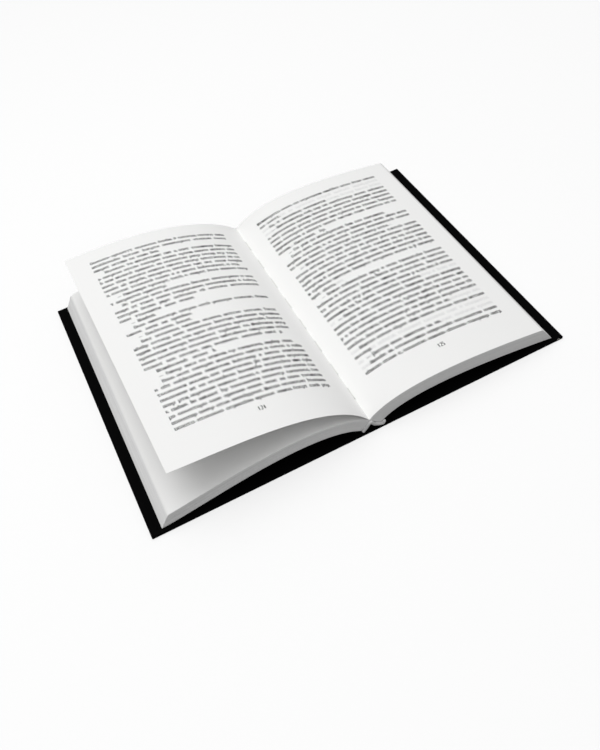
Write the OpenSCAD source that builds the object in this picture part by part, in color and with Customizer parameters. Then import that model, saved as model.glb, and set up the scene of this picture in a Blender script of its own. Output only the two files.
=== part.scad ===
// Hardback book, lying open on its covers with one leaf lifted off the left-hand pages.
// X runs across the open covers, Y from the tail edge to the head edge, Z up from the table.

/* [Pages] */
// Height of a page, from its tail edge to its head edge
page_h = 202.4; // [150:0.1:260]
// Thickness of the pages left of the gutter
front_stack_t = 9.4; // [5:0.1:16]
// Thickness of the pages right of the gutter
back_stack_t = 10.9; // [5:0.1:16]
// Rounding where a stack's top page meets its fore-edge
edge_round = 1.6; // [0.5:0.1:3]
// Thickness of the folded paper that joins both stacks under the gutter
fold_t = 1.2; // [0.8:0.1:2]

/* [Lie of the open pages] */
// Place of the gutter, to the right of the middle of the covers
gutter_x = 1.9; // [0:0.1:4]
// Angle at which the left-hand pages rise from the spine
front_rise_a = 38; // [30:1:50]
// Angle at which the left-hand pages come down on their cover
front_land_a = 4.5; // [2:0.5:10]
// Fullness of the left-hand arch at the spine, as a share of the page's reach
front_rise_k = 0.306; // [0.2:0.01:0.4]
// Fullness of the left-hand arch at the fore-edge, as a share of the page's reach
front_land_k = 0.211; // [0.15:0.01:0.4]
// Angle at which the right-hand pages rise from the spine
back_rise_a = 45; // [35:1:55]
// Angle at which the right-hand pages come down on their cover
back_land_a = 11; // [4:0.5:14]
// Fullness of the right-hand arch at the spine, as a share of the page's reach
back_rise_k = 0.156; // [0.1:0.01:0.3]
// Fullness of the right-hand arch at the fore-edge, as a share of the page's reach
back_land_k = 0.555; // [0.3:0.01:0.6]

/* [Lifted leaf] */
// Thickness of the lifted leaf
leaf_t = 0.25; // [0.2:0.05:0.5]
// Height of the leaf's free corner above the table at the tail
leaf_lift_tail = 51.2; // [40:0.1:65]
// Height of the leaf's free corner above the table at the head
leaf_lift_head = 43.5; // [36:0.1:60]
// How far the free edge has swung in from the page below, at the tail
leaf_in_tail = 9.4; // [5:0.1:15]
// How far the free edge has swung in from the page below, at the head
leaf_in_head = 6.4; // [3:0.1:12]
// Angle at which the leaf rises from the gutter, at the tail and the head
leaf_rise_a = [59, 48]; // [45:1:65]
// Angle of the leaf at its free edge, upwards at the tail and downwards at the head
leaf_end_a = [-5.4, 1.6]; // [-10:0.1:10]
// Fullness of the leaf's curve at the gutter, as a share of its reach
leaf_rise_k = [0.355, 0.12]; // [0.1:0.01:0.45]
// Fullness of the leaf's curve at the free edge, as a share of its reach
leaf_end_k = [0.362, 0.67]; // [0.2:0.01:0.7]

/* [Cover boards] */
// Width of a cover board
board_w = 125; // [90:0.5:180]
// Thickness of a cover board
board_t = 1.8; // [1.2:0.1:3]
// How far the boards stand out past the pages at head and tail
square = 2.3; // [1.5:0.1:5]
// How far the case reaches past the pages at each fore-edge
fore_square = 7.4; // [3:0.1:12]
// Thickness of the card strip in the spine
spine_strip_t = 0.8; // [0.4:0.1:1.5]
// How much narrower the spine strip is than the whole block of pages
spine_undercut = 0.3; // [0:0.1:1]

/* [Covering and joints] */
// Thickness of the covering
cloth_t = 0.3; // [0.2:0.05:0.5]
// Width of the flexible joint between a board and the spine strip
groove_w = 7.2; // [5:0.1:10]
// Depth to which the covering is pressed in at the joint
groove_depth = 0.8; // [0.3:0.1:1.2]
// Width of the covering turned in over the boards
turn_in = 15; // [10:0.5:20]

/* [Endpapers] */
// Thickness of the endpaper pasted to a board
pastedown_t = 0.15; // [0.1:0.05:0.3]
// Width of covering left bare round a pastedown
pastedown_margin = 3.5; // [2:0.1:6]
// Thickness of the free endpaper under the pages
flyleaf_t = 0.2; // [0.1:0.05:0.3]

/* [Bands and sewing] */
// Radius of the rolled bead of a head or tail band
band_r = 1.1; // [0.5:0.05:1.15]
// Width of the band's tape glued to the spine
band_tape = 10; // [6:0.5:16]
// How far the band sags below the spine on the right
band_sag = 1; // [0:0.1:1.5]
// Where along the right half of the spine the band sags most, as a share of it
band_sag_at = 0.45; // [0.3:0.05:0.7]
// Length of the band's end that turns up round the right-hand pages
band_hook = 2.9; // [1:0.1:4]
// Angle at which that end turns up
band_hook_a = 48; // [20:1:70]
// Thickness of the lining and the band's tape on the spine
lining_t = 0.3; // [0.2:0.05:0.5]
// Radius of the sewing thread
thread_r = 0.22; // [0.1:0.02:0.4]
// Length of a stitch that shows in the fold
stitch = 9; // [5:0.5:14]
// Number of stitches along the fold
stitches = 8; // [4:1:10]

/* [Clearances] */
// Gap between the front flyleaf and its pastedown where the pages rest
front_rest_gap = 0.2; // [0.1:0.05:0.5]
// Gap between the back flyleaf and its pastedown where the pages rest
back_rest_gap = 0.4; // [0.1:0.05:0.8]
// Height of the block's spine above the inside of the covering
spine_lift = 1.3; // [1.1:0.1:2]
// Gap between a cover and the spine at the line where the cover turns
hinge_gap = 0.1; // [0.05:0.05:0.3]
// Gap between pieces that lie loose on each other
slip = 0.05; // [0.02:0.01:0.1]
// Bare edge of the spine beside the lining
lining_margin = 0.6; // [0.4:0.1:1]

/* [Hidden] */

// Points along each page curve, and along the curve that it is divided from
curve_n = 22;
fine_n = 4 * curve_n;
// Spans of the pages from tail to head, and points round the corner of a stack
loft_n = 5;
corner_n = 3;
// Points along a band's bead and round it, and sides of a thread
band_n = 26;
band_sides = 8;
thread_sides = 24;
// Points across half of a joint's groove
groove_n = 3;
// How far cutting shapes run past what they cut
over = 1;
// Length from the gutter along which the lifted leaf still lies on the pages below it
leaf_root = 2;
// How far from a block's foot the endpaper starts to rise to it
fold_run = 1.5;
// Height of a stitch's middle above the gutter, as a share of the thread's radius
thread_lift = 2.2;

black_cloth = [0.035, 0.035, 0.038];
black_paper = [0.05, 0.05, 0.052];
white_paper = [0.93, 0.93, 0.92];
greyboard = [0.55, 0.53, 0.5];
grey_band = [0.72, 0.72, 0.72];
white_gauze = [0.85, 0.84, 0.8];

// Case, from the middle of the spine outwards
spine_w = front_stack_t + back_stack_t - spine_undercut;
strip_x = spine_w / 2;
hinge_x = strip_x + groove_w / 2;
joint_x = strip_x + groove_w;
board_x = joint_x + board_w;
case_x = board_x + cloth_t;
board_h = page_h + 2 * square - 2 * cloth_t;
case_h = board_h + 2 * cloth_t;

// Heights above the table
board_z = cloth_t + board_t;
cover_z = board_z + cloth_t;
strip_z = cloth_t + spine_strip_t;
spine_in_z = strip_z + cloth_t;
groove_z = groove_depth + cloth_t;
pastedown_z = cover_z + pastedown_t;
front_land_z = pastedown_z + front_rest_gap + flyleaf_t;
back_land_z = pastedown_z + back_rest_gap + flyleaf_t;

// Gutter, and the corners where each stack's lowest page meets the spine
spine_rise = max(front_stack_t * cos(front_rise_a), back_stack_t * cos(back_rise_a));
gutter = [gutter_x, spine_in_z + spine_lift + spine_rise];
front_foot = gutter - front_stack_t * [sin(front_rise_a), cos(front_rise_a)];
back_foot = gutter - back_stack_t * [-sin(back_rise_a), cos(back_rise_a)];
front_land = [-case_x + fore_square, front_land_z];
back_land = [case_x - fore_square, back_land_z];

// Curves and lines of points, in X and Z
function unit(v) = v / norm(v);
function turn(v) = [-v[1], v[0]];
function mix(a, b, t) = a + (b - a) * t;
function reverse(p) = [for (i = [len(p) - 1:-1:0]) p[i]];
function bezier(p, t) =
    pow(1 - t, 3) * p[0] + 3 * t * pow(1 - t, 2) * p[1] + 3 * t * t * (1 - t) * p[2] + pow(t, 3) * p[3];
function bezier_slope(p, t) =
    unit(pow(1 - t, 2) * (p[1] - p[0]) + 2 * t * (1 - t) * (p[2] - p[1]) + t * t * (p[3] - p[2]));
// Distance from the start of a line of points to each of its points
function lengths(p) =
    [for (i = 0, s = 0; i < len(p); i = i + 1, s = s + (i < len(p) ? norm(p[i] - p[i - 1]) : 0)) s];
function total(p) = lengths(p)[len(p) - 1];
// One coordinate of a line of points against the distance along it
function along(p, axis) = let (s = lengths(p)) [for (i = [0:len(p) - 1]) [s[i], p[i][axis]]];
// A line of points cut to a length and divided evenly
function resample(p, long, n) =
    let (xs = along(p, 0), zs = along(p, 1))
    [for (i = [0:n]) [lookup(long * i / n, xs), lookup(long * i / n, zs)]];
// A line of points moved sideways, to its left for a positive distance
function beside(p, d) =
    [for (i = [0:len(p) - 1]) p[i] + d * turn(unit(p[min(i + 1, len(p) - 1)] - p[max(i - 1, 0)]))];
// A band of even thickness along a line of points
function ribbon(p, d) = concat(p, reverse(beside(p, d)));
// A band of even height above a line of points
function layer(p, h) = concat(p, reverse([for (q = p) q + [0, h]]));
// A smooth line through a few points
function smooth_at(p, i, t) =
    let (a = p[max(i - 1, 0)], b = p[i], c = p[min(i + 1, len(p) - 1)], d = p[min(i + 2, len(p) - 1)])
    (2 * b + (c - a) * t + (2 * a - 5 * b + 4 * c - d) * t * t + (3 * b - a - 3 * c + d) * pow(t, 3)) / 2;
function smooth(p, n) =
    [for (k = [0:n]) let (u = (len(p) - 1) * k / n, i = min(floor(u), len(p) - 2)) smooth_at(p, i, u - i)];

// Curve of a stack's lowest page from spine to fore-edge: side is -1 on the left and 1 on the right
function page_curve(side, foot, land, rise_a, land_a, rise_k, land_k) =
    let (reach = abs(land[0] - foot[0]))
    [foot, foot + rise_k * reach * [side * cos(rise_a), sin(rise_a)],
     land + land_k * reach * [-side * cos(land_a), sin(land_a)], land];
front_curve = page_curve(-1, front_foot, front_land, front_rise_a, front_land_a, front_rise_k, front_land_k);
back_curve = page_curve(1, back_foot, back_land, back_rise_a, back_land_a, back_rise_k, back_land_k);

// The lowest page, and the top page: as long as the lowest, and one stack's thickness above it
function page_line(c, side, t) =
    [for (i = [0:fine_n]) bezier(c, i / fine_n) + side * t * turn(bezier_slope(c, i / fine_n))];
function low_page(c, side) = let (p = page_line(c, side, 0)) resample(p, total(p), curve_n);
front_low = low_page(front_curve, -1);
back_low = low_page(back_curve, 1);
front_top = resample(page_line(front_curve, -1, front_stack_t), total(front_low), curve_n);
back_top = resample(page_line(back_curve, 1, back_stack_t), total(back_low), curve_n);
// Top page with its fore-edge corner rounded down towards the lowest page
function rounded_top(top, low) =
    let (last = top[curve_n], down = last + edge_round * unit(low[curve_n] - last),
         kept = resample(top, total(top) - edge_round, curve_n), from = kept[curve_n])
    concat(kept, [for (k = [1:corner_n])
        let (t = k / corner_n) mix(mix(from, last, t), mix(last, down, t), t)]);

// Upper face of the lifted leaf, from the gutter to its free edge: u is 0 at the tail and 1 at the head
front_top_reach = gutter[0] - front_top[curve_n][0];
leaf_reach = [front_top_reach - leaf_in_tail, front_top_reach - leaf_in_head];
leaf_lift = [leaf_lift_tail, leaf_lift_head];
function leaf_curve(k) =
    let (end = [gutter[0] - leaf_reach[k], leaf_lift[k]])
    [gutter, gutter + leaf_rise_k[k] * leaf_reach[k] * [-cos(leaf_rise_a[k]), sin(leaf_rise_a[k])],
     end + leaf_end_k[k] * leaf_reach[k] * [cos(leaf_end_a[k]), sin(leaf_end_a[k])], end];
function leaf_edge(k) =
    let (p = [for (i = [0:fine_n]) bezier(leaf_curve(k), i / fine_n)]) resample(p, total(p), curve_n);
leaf_at_tail = leaf_edge(0);
leaf_at_head = leaf_edge(1);
function leaf_top(u) = [for (i = [0:curve_n]) mix(leaf_at_tail[i], leaf_at_head[i], u)];

// Outline of all the pages at a height u up the page: left stack, lifted leaf, right stack, spine
function block_outline(u) =
    let (leaf = leaf_top(u), under = beside(leaf, leaf_t), root = resample(front_top, leaf_root, 1)[1])
    concat(front_low,
           reverse([for (p = rounded_top(front_top, front_low)) if (norm(p - gutter) > leaf_root + over) p]),
           [root], [for (i = [1:curve_n]) under[i]], [for (i = [curve_n:-1:1]) leaf[i]],
           rounded_top(back_top, back_low), reverse(back_low),
           [gutter + fold_t * unit(back_foot - gutter), gutter + fold_t * unit(front_foot - gutter)]);

// Solid through outlines of as many points at several places along Y. Its walls are split along the diagonal
// that leans the same way seen from above, so that both faces of a thin twisted leaf have the same folds
module loft(outlines, ys) {
    n = len(outlines[0]);
    m = len(ys);
    points = [for (j = [0:m - 1]) for (p = outlines[j]) [p[0], ys[j], p[1]]];
    sides = [for (j = [0:m - 2]) for (i = [0:n - 1])
        let (k = (i + 1) % n, a = j * n + i, b = j * n + k, c = b + n, d = a + n)
        each outlines[j][k][0] < outlines[j][i][0] ? [[a, d, c], [a, c, b]] : [[a, d, b], [d, c, b]]];
    caps = [[for (i = [0:n - 1]) i], [for (i = [n - 1:-1:0]) (m - 1) * n + i]];
    polyhedron(points, concat(sides, caps));
}

// Outline in X and Z carried along Y from one place to another
module along_y(y0, y1) {
    translate([0, max(y0, y1), 0]) rotate([90, 0, 0]) linear_extrude(height = abs(y1 - y0)) children();
}

// Box between its lowest and highest corners
module box(low, high) {
    translate(low) cube(high - low);
}

// Round bar along a line of points that lies in one plane across Y
module sweep(path, radius, sides) {
    n = len(path);
    rings = [for (i = [0:n - 1])
        let (d = unit(path[min(i + 1, n - 1)] - path[max(i - 1, 0)]), a = [0, 1, 0], b = cross(d, a))
        for (k = [0:sides - 1]) path[i] + radius * (cos(360 * k / sides) * a + sin(360 * k / sides) * b)];
    walls = [for (i = [0:n - 2]) for (k = [0:sides - 1])
        let (l = (k + 1) % sides, a = i * sides, b = a + sides)
        each [[a + k, b + l, a + l], [a + k, b + k, b + l]]];
    caps = [[for (k = [0:sides - 1]) k], [for (k = [sides - 1:-1:0]) (n - 1) * sides + k]];
    polyhedron(rings, concat(walls, caps));
}

module text_block() {
    color(white_paper)
        loft([for (j = [0:loft_n]) block_outline(j / loft_n)],
             [for (j = [0:loft_n]) page_h * (j / loft_n - 0.5)]);
}

// Free endpaper: it lines the lowest page and folds back at the block's foot to the cover's hinge
module flyleaf(side, low, foot) {
    start = [side * (hinge_x - hinge_gap / 2), groove_z + cloth_t + slip];
    rest = [foot[0] + side * fold_run, max(groove_z + cloth_t, spine_in_z) + slip];
    thick = [0, flyleaf_t];
    color(black_paper) along_y(-page_h / 2, page_h / 2) {
        polygon(ribbon(low, side * -flyleaf_t));
        polygon([start, rest, foot - thick, foot, foot + side * [flyleaf_t, 0], rest + thick, start + thick]);
    }
}
module front_flyleaf() {
    flyleaf(-1, front_low, front_foot);
}
module back_flyleaf() {
    flyleaf(1, back_low, back_foot);
}

// Spine of the block, from the left foot over the fold to the right foot
spine_line = [mix(front_foot, gutter, lining_margin / front_stack_t),
              gutter + fold_t * unit(front_foot - gutter),
              gutter + fold_t * unit(back_foot - gutter),
              mix(back_foot, gutter, lining_margin / back_stack_t)];
module spine_tape(y0, y1) {
    along_y(y0, y1) polygon(ribbon(spine_line, -lining_t));
}
module spine_lining() {
    color(white_gauze) spine_tape(-page_h / 2 + band_tape, page_h / 2 - band_tape);
}

// Line of a band's bead: up the left half of the spine, sagging down the right half, and up round the last
// pages
band_apex = gutter - [0, fold_t + slip];
band_low = mix(band_apex, back_foot, band_sag_at) - band_sag * [sin(back_rise_a), cos(back_rise_a)];
band_bend = back_foot + band_hook / 2 * [cos(band_hook_a / 2), sin(band_hook_a / 2)];
band_tip = back_foot + band_hook * [cos(band_hook_a), sin(band_hook_a)];
band_points = [front_foot, mix(front_foot, band_apex, 0.5), band_apex, band_low, back_foot, band_bend,
               band_tip];
// Bead that stands out past the pages, and its tape glued to the spine: end is 1 at the head and -1 at the
// tail
module band(end) {
    face_y = end * page_h / 2;
    bead_y = face_y + end * band_r;
    color(grey_band) union() {
        sweep([for (p = smooth(band_points, band_n)) [p[0], bead_y, p[1]]], band_r, band_sides);
        spine_tape(bead_y, face_y - end * band_tape);
    }
}
module headband() {
    band(1);
}
module tailband() {
    band(-1);
}

// Stitches lying in the centre fold between the lifted leaf and the right-hand page
module sewing_thread() {
    pitch = page_h / (stitches + 1);
    color(white_gauze) for (i = [1:stitches])
        translate([gutter[0], i * pitch - page_h / 2 - stitch / 2, gutter[1] + thread_lift * thread_r])
            rotate([-90, 0, 0]) cylinder(r = thread_r, h = stitch, $fn = thread_sides);
}

// Underside of the covering across the right-hand joint: flat, pressed in over the joint, flat again
function groove_rise(x) =
    abs(x - hinge_x) < groove_w / 2 ? groove_depth * pow(cos(180 * (x - hinge_x) / groove_w), 2) : 0;
function groove_line(x0, x1) =
    [for (i = [0:groove_n]) let (x = mix(x0, x1, i / groove_n)) [x, groove_rise(x)]];
cover_groove = groove_line(hinge_x + hinge_gap / 2, joint_x);
spine_groove = groove_line(strip_x, hinge_x - hinge_gap / 2);
cover_under = concat(cover_groove, [[case_x, 0]]);
spine_under = concat([[0, 0]], spine_groove);
// Inside of the covering: over the board or strip, and down into the joint
cover_inside = concat([for (i = [0:groove_n - 1]) cover_groove[i] + [0, cloth_t]],
                      [[joint_x, board_z], [case_x, board_z]]);
spine_inside = concat([[0, strip_z], [strip_x, strip_z]],
                      [for (i = [1:groove_n]) spine_groove[i] + [0, cloth_t]]);

// Covering with its edges wrapped up and turned in at head and tail
module wrap(under, inside) {
    edge = concat(under, reverse([for (q = inside) q + [0, cloth_t]]));
    along_y(-case_h / 2, case_h / 2) polygon(layer(under, cloth_t));
    for (end = [-1, 1]) {
        along_y(end * case_h / 2, end * (case_h / 2 - cloth_t)) polygon(edge);
        along_y(end * case_h / 2, end * (case_h / 2 - turn_in)) polygon(layer(inside, cloth_t));
    }
}
module cover_cloth() {
    color(black_cloth) union() {
        wrap(cover_under, cover_inside);
        box([board_x, -case_h / 2, 0], [case_x, case_h / 2, cover_z]);
        box([case_x - turn_in, -case_h / 2, board_z], [case_x, case_h / 2, cover_z]);
    }
}
module front_cover_cloth() {
    mirror([1, 0, 0]) cover_cloth();
}
module back_cover_cloth() {
    cover_cloth();
}
module spine_cloth() {
    color(black_cloth) union() {
        wrap(spine_under, spine_inside);
        mirror([1, 0, 0]) wrap(spine_under, spine_inside);
    }
}

module board() {
    color(greyboard) box([joint_x, -board_h / 2, cloth_t], [board_x, board_h / 2, board_z]);
}
module front_board() {
    mirror([1, 0, 0]) board();
}
module back_board() {
    board();
}
module spine_strip() {
    color(greyboard) box([-strip_x, -board_h / 2, cloth_t], [strip_x, board_h / 2, strip_z]);
}

// Endpaper pasted to a board: it steps down inside the turned-in covering and reaches into the joint
module pastedown() {
    end_x = case_x - pastedown_margin;
    end_y = case_h / 2 - pastedown_margin;
    turned_x = case_x - turn_in;
    turned_y = case_h / 2 - turn_in;
    // Part of the paper that dips into the joint, above the bare covering or above its turned-in edge
    module flap(y0, y1, rise) {
        dip_z = groove_z + slip + rise;
        line = [[hinge_x + hinge_gap / 2, dip_z], [cover_groove[groove_n - 1][0], dip_z],
                [joint_x, board_z + rise]];
        along_y(y0, y1) polygon(layer(line, pastedown_t));
    }
    color(black_paper) {
        difference() {
            box([joint_x, -end_y, board_z], [end_x, end_y, pastedown_z]);
            for (end = [0, 1]) mirror([0, end, 0])
                box([joint_x - over, turned_y, board_z - over], [end_x + over, end_y + over, cover_z]);
            box([turned_x, -end_y - over, board_z - over], [end_x + over, end_y + over, cover_z]);
            box([joint_x - over, pastedown_t - turned_y, board_z + pastedown_t],
                [turned_x - pastedown_t, turned_y - pastedown_t, pastedown_z + over]);
        }
        flap(-end_y, pastedown_t - turned_y, cloth_t);
        flap(-turned_y, turned_y, 0);
        flap(turned_y - pastedown_t, end_y, cloth_t);
    }
}
module front_pastedown() {
    mirror([1, 0, 0]) pastedown();
}
module back_pastedown() {
    pastedown();
}

text_block();
front_flyleaf();
back_flyleaf();
headband();
tailband();
spine_lining();
sewing_thread();
spine_strip();
spine_cloth();
front_board();
front_cover_cloth();
front_pastedown();
back_board();
back_cover_cloth();
back_pastedown();
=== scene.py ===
"""Looks for an open hardback book with one lifted leaf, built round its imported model."""

import math

import bmesh
import bpy
import numpy as np
from bpy.props import FloatProperty, FloatVectorProperty, IntProperty, PointerProperty
from mathutils import Matrix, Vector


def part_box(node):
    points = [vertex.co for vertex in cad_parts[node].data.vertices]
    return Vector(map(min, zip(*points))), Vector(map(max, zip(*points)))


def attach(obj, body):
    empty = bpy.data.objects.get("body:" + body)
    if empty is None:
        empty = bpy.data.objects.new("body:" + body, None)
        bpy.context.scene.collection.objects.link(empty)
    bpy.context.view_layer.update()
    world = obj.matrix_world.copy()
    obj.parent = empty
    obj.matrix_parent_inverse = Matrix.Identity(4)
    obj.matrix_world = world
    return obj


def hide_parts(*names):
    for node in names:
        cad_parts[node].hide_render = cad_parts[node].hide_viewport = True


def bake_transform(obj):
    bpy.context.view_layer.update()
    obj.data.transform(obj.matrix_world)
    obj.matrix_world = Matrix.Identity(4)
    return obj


bl_info = {
    "name": "Open Hardback Book",
    "version": (1, 0, 0),
    "blender": (4, 5, 0),
    "location": "View3D > Sidebar > Book",
    "description": "Pages, print, bands, endpapers and black covering of an open hardback book",
    "category": "Object",
}

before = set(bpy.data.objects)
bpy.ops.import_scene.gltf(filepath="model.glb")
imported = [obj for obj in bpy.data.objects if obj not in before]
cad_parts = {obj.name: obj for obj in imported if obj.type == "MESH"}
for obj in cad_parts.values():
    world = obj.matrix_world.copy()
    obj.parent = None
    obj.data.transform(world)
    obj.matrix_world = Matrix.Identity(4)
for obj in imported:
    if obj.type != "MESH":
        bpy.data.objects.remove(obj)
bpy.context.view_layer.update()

MM = 0.001
LEFT, RIGHT = -1, 1
NAMES = {LEFT: "left", RIGHT: "right"}
COVERS = {LEFT: "front", RIGHT: "back"}


def node_low(node):
    """Lowest corner of a node's box."""
    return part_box(node)[0]


def node_high(node):
    """Highest corner of a node's box."""
    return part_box(node)[1]


def length(name, description, default):
    """A size property in metres."""
    return FloatProperty(name=name, description=description, default=default, unit="LENGTH", precision=5)


def angle(name, description, default):
    """An angle property, given in degrees."""
    return FloatProperty(name=name, description=description, default=math.radians(default), subtype="ANGLE")


def share(name, description, default):
    """A share of a length, from 0 to 1."""
    return FloatProperty(name=name, description=description, default=default, min=0, max=1, subtype="FACTOR")


def colour(name, description, default):
    """A colour property."""
    return FloatVectorProperty(name=name, description=description, default=default, size=3, min=0, max=1,
                               subtype="COLOR")


class BookPages(bpy.types.PropertyGroup):
    """Sizes of the pages and the way they lie."""

    height: length("Page height", "From the tail edge to the head edge", 2 * node_high("text_block").y)
    left_thick: length("Left thickness", "Thickness of the pages left of the gutter", 9.4 * MM)
    right_thick: length("Right thickness", "Thickness of the pages right of the gutter", 10.9 * MM)
    corner: length("Corner", "Droop of the top pages at the fore-edge", 1.6 * MM)
    fold: length("Fold", "Thickness of the folded paper under the gutter", 1.2 * MM)
    gutter_x: length("Gutter", "Place of the gutter to the right of the middle of the covers", 1.9 * MM)
    spine_lift: length("Spine lift", "Height of the spine of the pages above the covering", 1.3 * MM)
    left_rise: angle("Left rise", "Angle at which the left pages rise from the spine", 38)
    right_rise: angle("Right rise", "Angle at which the right pages rise from the spine", 45)
    left_land: angle("Left landing", "Angle at which the left pages come down", 4.5)
    right_land: angle("Right landing", "Angle at which the right pages come down", 11)
    left_rise_k: share("Left fullness at the spine", "Share of the page's reach", 0.306)
    right_rise_k: share("Right fullness at the spine", "Share of the page's reach", 0.156)
    left_land_k: share("Left fullness at the fore-edge", "Share of the page's reach", 0.211)
    right_land_k: share("Right fullness at the fore-edge", "Share of the page's reach", 0.555)
    left_gap: length("Left gap", "Gap between the left flyleaf and the pastedown", 0.2 * MM)
    right_gap: length("Right gap", "Gap between the right flyleaf and the pastedown", 0.4 * MM)
    flyleaf: length("Flyleaf", "Thickness of the free endpaper under the pages", 0.2 * MM)
    fore_square: length("Fore square", "How far the case reaches past the pages at a fore-edge", 7.4 * MM)
    ridge: length("Ridge", "How far single leaves stand out of the trimmed edges", 0.035 * MM)


class BookLeaf(bpy.types.PropertyGroup):
    """Sizes of the lifted leaf, at the tail and at the head."""

    thick: length("Leaf thickness", "Thickness of the lifted leaf", 0.18 * MM)
    lift_tail: length("Lift at the tail", "Height of the free corner", 51.2 * MM)
    lift_head: length("Lift at the head", "Height of the free corner", 43.5 * MM)
    in_tail: length("Swing at the tail", "How far the free edge is in from the page below", 9.4 * MM)
    in_head: length("Swing at the head", "How far the free edge is in from the page below", 6.4 * MM)
    rise_tail: angle("Rise at the tail", "Angle at which the leaf leaves the gutter", 59)
    rise_head: angle("Rise at the head", "Angle at which the leaf leaves the gutter", 48)
    end_tail: angle("Edge angle at the tail", "Angle of the leaf at its free edge", -5.4)
    end_head: angle("Edge angle at the head", "Angle of the leaf at its free edge", 1.6)
    rise_k_tail: share("Fullness at the gutter, tail", "Share of the leaf's reach", 0.355)
    rise_k_head: share("Fullness at the gutter, head", "Share of the leaf's reach", 0.12)
    end_k_tail: share("Fullness at the edge, tail", "Share of the leaf's reach", 0.362)
    end_k_head: share("Fullness at the edge, head", "Share of the leaf's reach", 0.67)


class BookCase(bpy.types.PropertyGroup):
    """Sizes of the covering, the joints and the endpapers."""

    cloth: length("Covering", "Thickness of the covering", 0.3 * MM)
    edge: length("Edge rounding", "Rounding of the covering over the boards' edges", 0.6 * MM)
    corner: length("Corner rounding", "Rounding of the covers' outer corners, seen from above", 0.35 * MM)
    turn_in: length("Turn-in", "Width of the covering turned in over the boards", 15 * MM)
    groove: length("Joint width", "Width of the joint between a board and the spine", 7.2 * MM)
    groove_depth: length("Joint depth", "Depth to which the covering is pressed in at a joint", 0.8 * MM)
    margin: length("Pastedown margin", "Covering left bare round a pastedown", 3.5 * MM)
    pastedown: length("Pastedown", "Thickness of the endpaper pasted to a board", 0.15 * MM)
    weave: length("Weave", "Distance between the threads of the covering", 0.42 * MM)
    fade: length("Joint fade", "Distance from the head or tail over which the pressed joint fades out", 9 * MM)
    worn_place: FloatVectorProperty(name="Worn fleck", description="Place of a worn fleck on the tail edge",
                                    size=3, unit="LENGTH", default=(138.9 * MM, -103.45 * MM, 1.75 * MM))
    worn_size: FloatVectorProperty(name="Worn fleck's size", description="Half of its size along each axis",
                                   size=3, unit="LENGTH", default=(1.1 * MM, 0.5 * MM, 0.35 * MM))


class BookBinding(bpy.types.PropertyGroup):
    """Sizes of the bands, the tape and the sewing."""

    bead: length("Bead", "Radius of the rolled bead of a band", 1.1 * MM)
    rib: length("Rib", "Distance between the ribs of a bead", 0.7 * MM)
    sag: length("Sag", "How far a band sags below the spine on the right", 1.0 * MM)
    sag_at: share("Sag's place", "Share of the spine's right half", 0.45)
    hook: length("Hook", "Length of the band's end that turns up round the right-hand pages", 2.9 * MM)
    hook_angle: angle("Hook angle", "Angle at which that end turns up", 48)
    tape: length("Tape", "Width of a band's tape on the spine", 10 * MM)
    tape_thick: length("Tape thickness", "Thickness of a band's tape", 0.3 * MM)
    bare: length("Bare edge", "Bare edge of the spine beside the tape", 0.6 * MM)
    stitches: IntProperty(name="Stitches", description="Number of stitches along the fold", default=8)
    stitch: length("Stitch", "Length of a stitch in the fold", 9 * MM)
    hole: length("Needle hole", "Radius of the hole at each end of a stitch", 0.22 * MM)


class BookPrint(bpy.types.PropertyGroup):
    """Layout of the printed lines, which are marks with no meaning."""

    first_line: length("First line", "From the page's head to the first line's foot", 15.0 * MM)
    pitch: length("Line pitch", "Distance between lines", 4.645 * MM)
    measure: length("Measure", "Length of a full line", 99.5 * MM)
    outer_margin: length("Outer margin", "Margin at the fore-edge of the left page", 14.6 * MM)
    inner_margin: length("Inner margin", "Margin at the gutter of the right page", 15.0 * MM)
    indent: length("Indent", "Indent of a paragraph's first line", 6.3 * MM)
    x_height: length("Letter height", "Height of a small mark", 1.86 * MM)
    mark: length("Mark width", "Width of one mark with its gap", 1.95 * MM)
    stem: length("Stem", "Width of a thick stroke", 0.52 * MM)
    space: length("Space", "Space between words before a line is filled", 1.5 * MM)
    folio: length("Page number", "From the page's head to the page number's foot", 185.6 * MM)
    seed: IntProperty(name="Seed", description="Start of the random draws for the words", default=7)


class BookColours(bpy.types.PropertyGroup):
    """Colours of the finishes."""

    paper: colour("Paper", "Page paper", (0.9, 0.9, 0.895))
    # The cut edges get a lighter colour than the paper as painted light, brightening the edge faces that the lamp
    # above barely reaches.
    cut: colour("Cut edges", "Trimmed edges of the pages", (0.95, 0.95, 0.945))
    # The ink's black also serves as painted shade in the sewing's needle holes.
    ink: colour("Ink", "Printing ink", (0.008, 0.008, 0.009))
    faint: colour("Show-through", "Print of the other side seen through the paper", (0.77, 0.77, 0.765))
    cloth: colour("Covering", "Black covering", (0.001, 0.001, 0.0011))
    endpaper: colour("Endpapers", "Black endpapers", (0.0012, 0.0012, 0.0013))
    board: colour("Board", "Raw board", (0.5, 0.48, 0.45))
    band: colour("Band", "Head and tail bands", (0.62, 0.62, 0.62))
    thread: colour("Thread", "Sewing thread", (0.76, 0.76, 0.74))
    gauze: colour("Gauze", "Glued gauze on the spine", (0.72, 0.7, 0.65))


class BookStage(bpy.types.PropertyGroup):
    """Camera, lamps and floor."""

    camera: FloatVectorProperty(name="Camera", description="Place of the camera", size=3, unit="LENGTH",
                                default=(-0.11555, -0.34514, 0.4036))
    lens: FloatProperty(name="Lens", description="Focal length in millimetres", default=37.948)
    tilt: angle("Tilt", "How far the camera looks below the horizon", 51.568)
    heading: angle("Heading", "How far the camera looks to the right of the head", 18.061)
    roll: angle("Roll", "Turn of the camera about its own line of sight", -10.643)
    key: FloatProperty(name="Key lamp", description="Power of the large lamp above", default=3.35, unit="POWER")
    sky: FloatProperty(name="Sky", description="Strength of the sky's light straight overhead", default=0.97)
    floor: length("Floor", "Width of the floor", 3.0)


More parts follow.
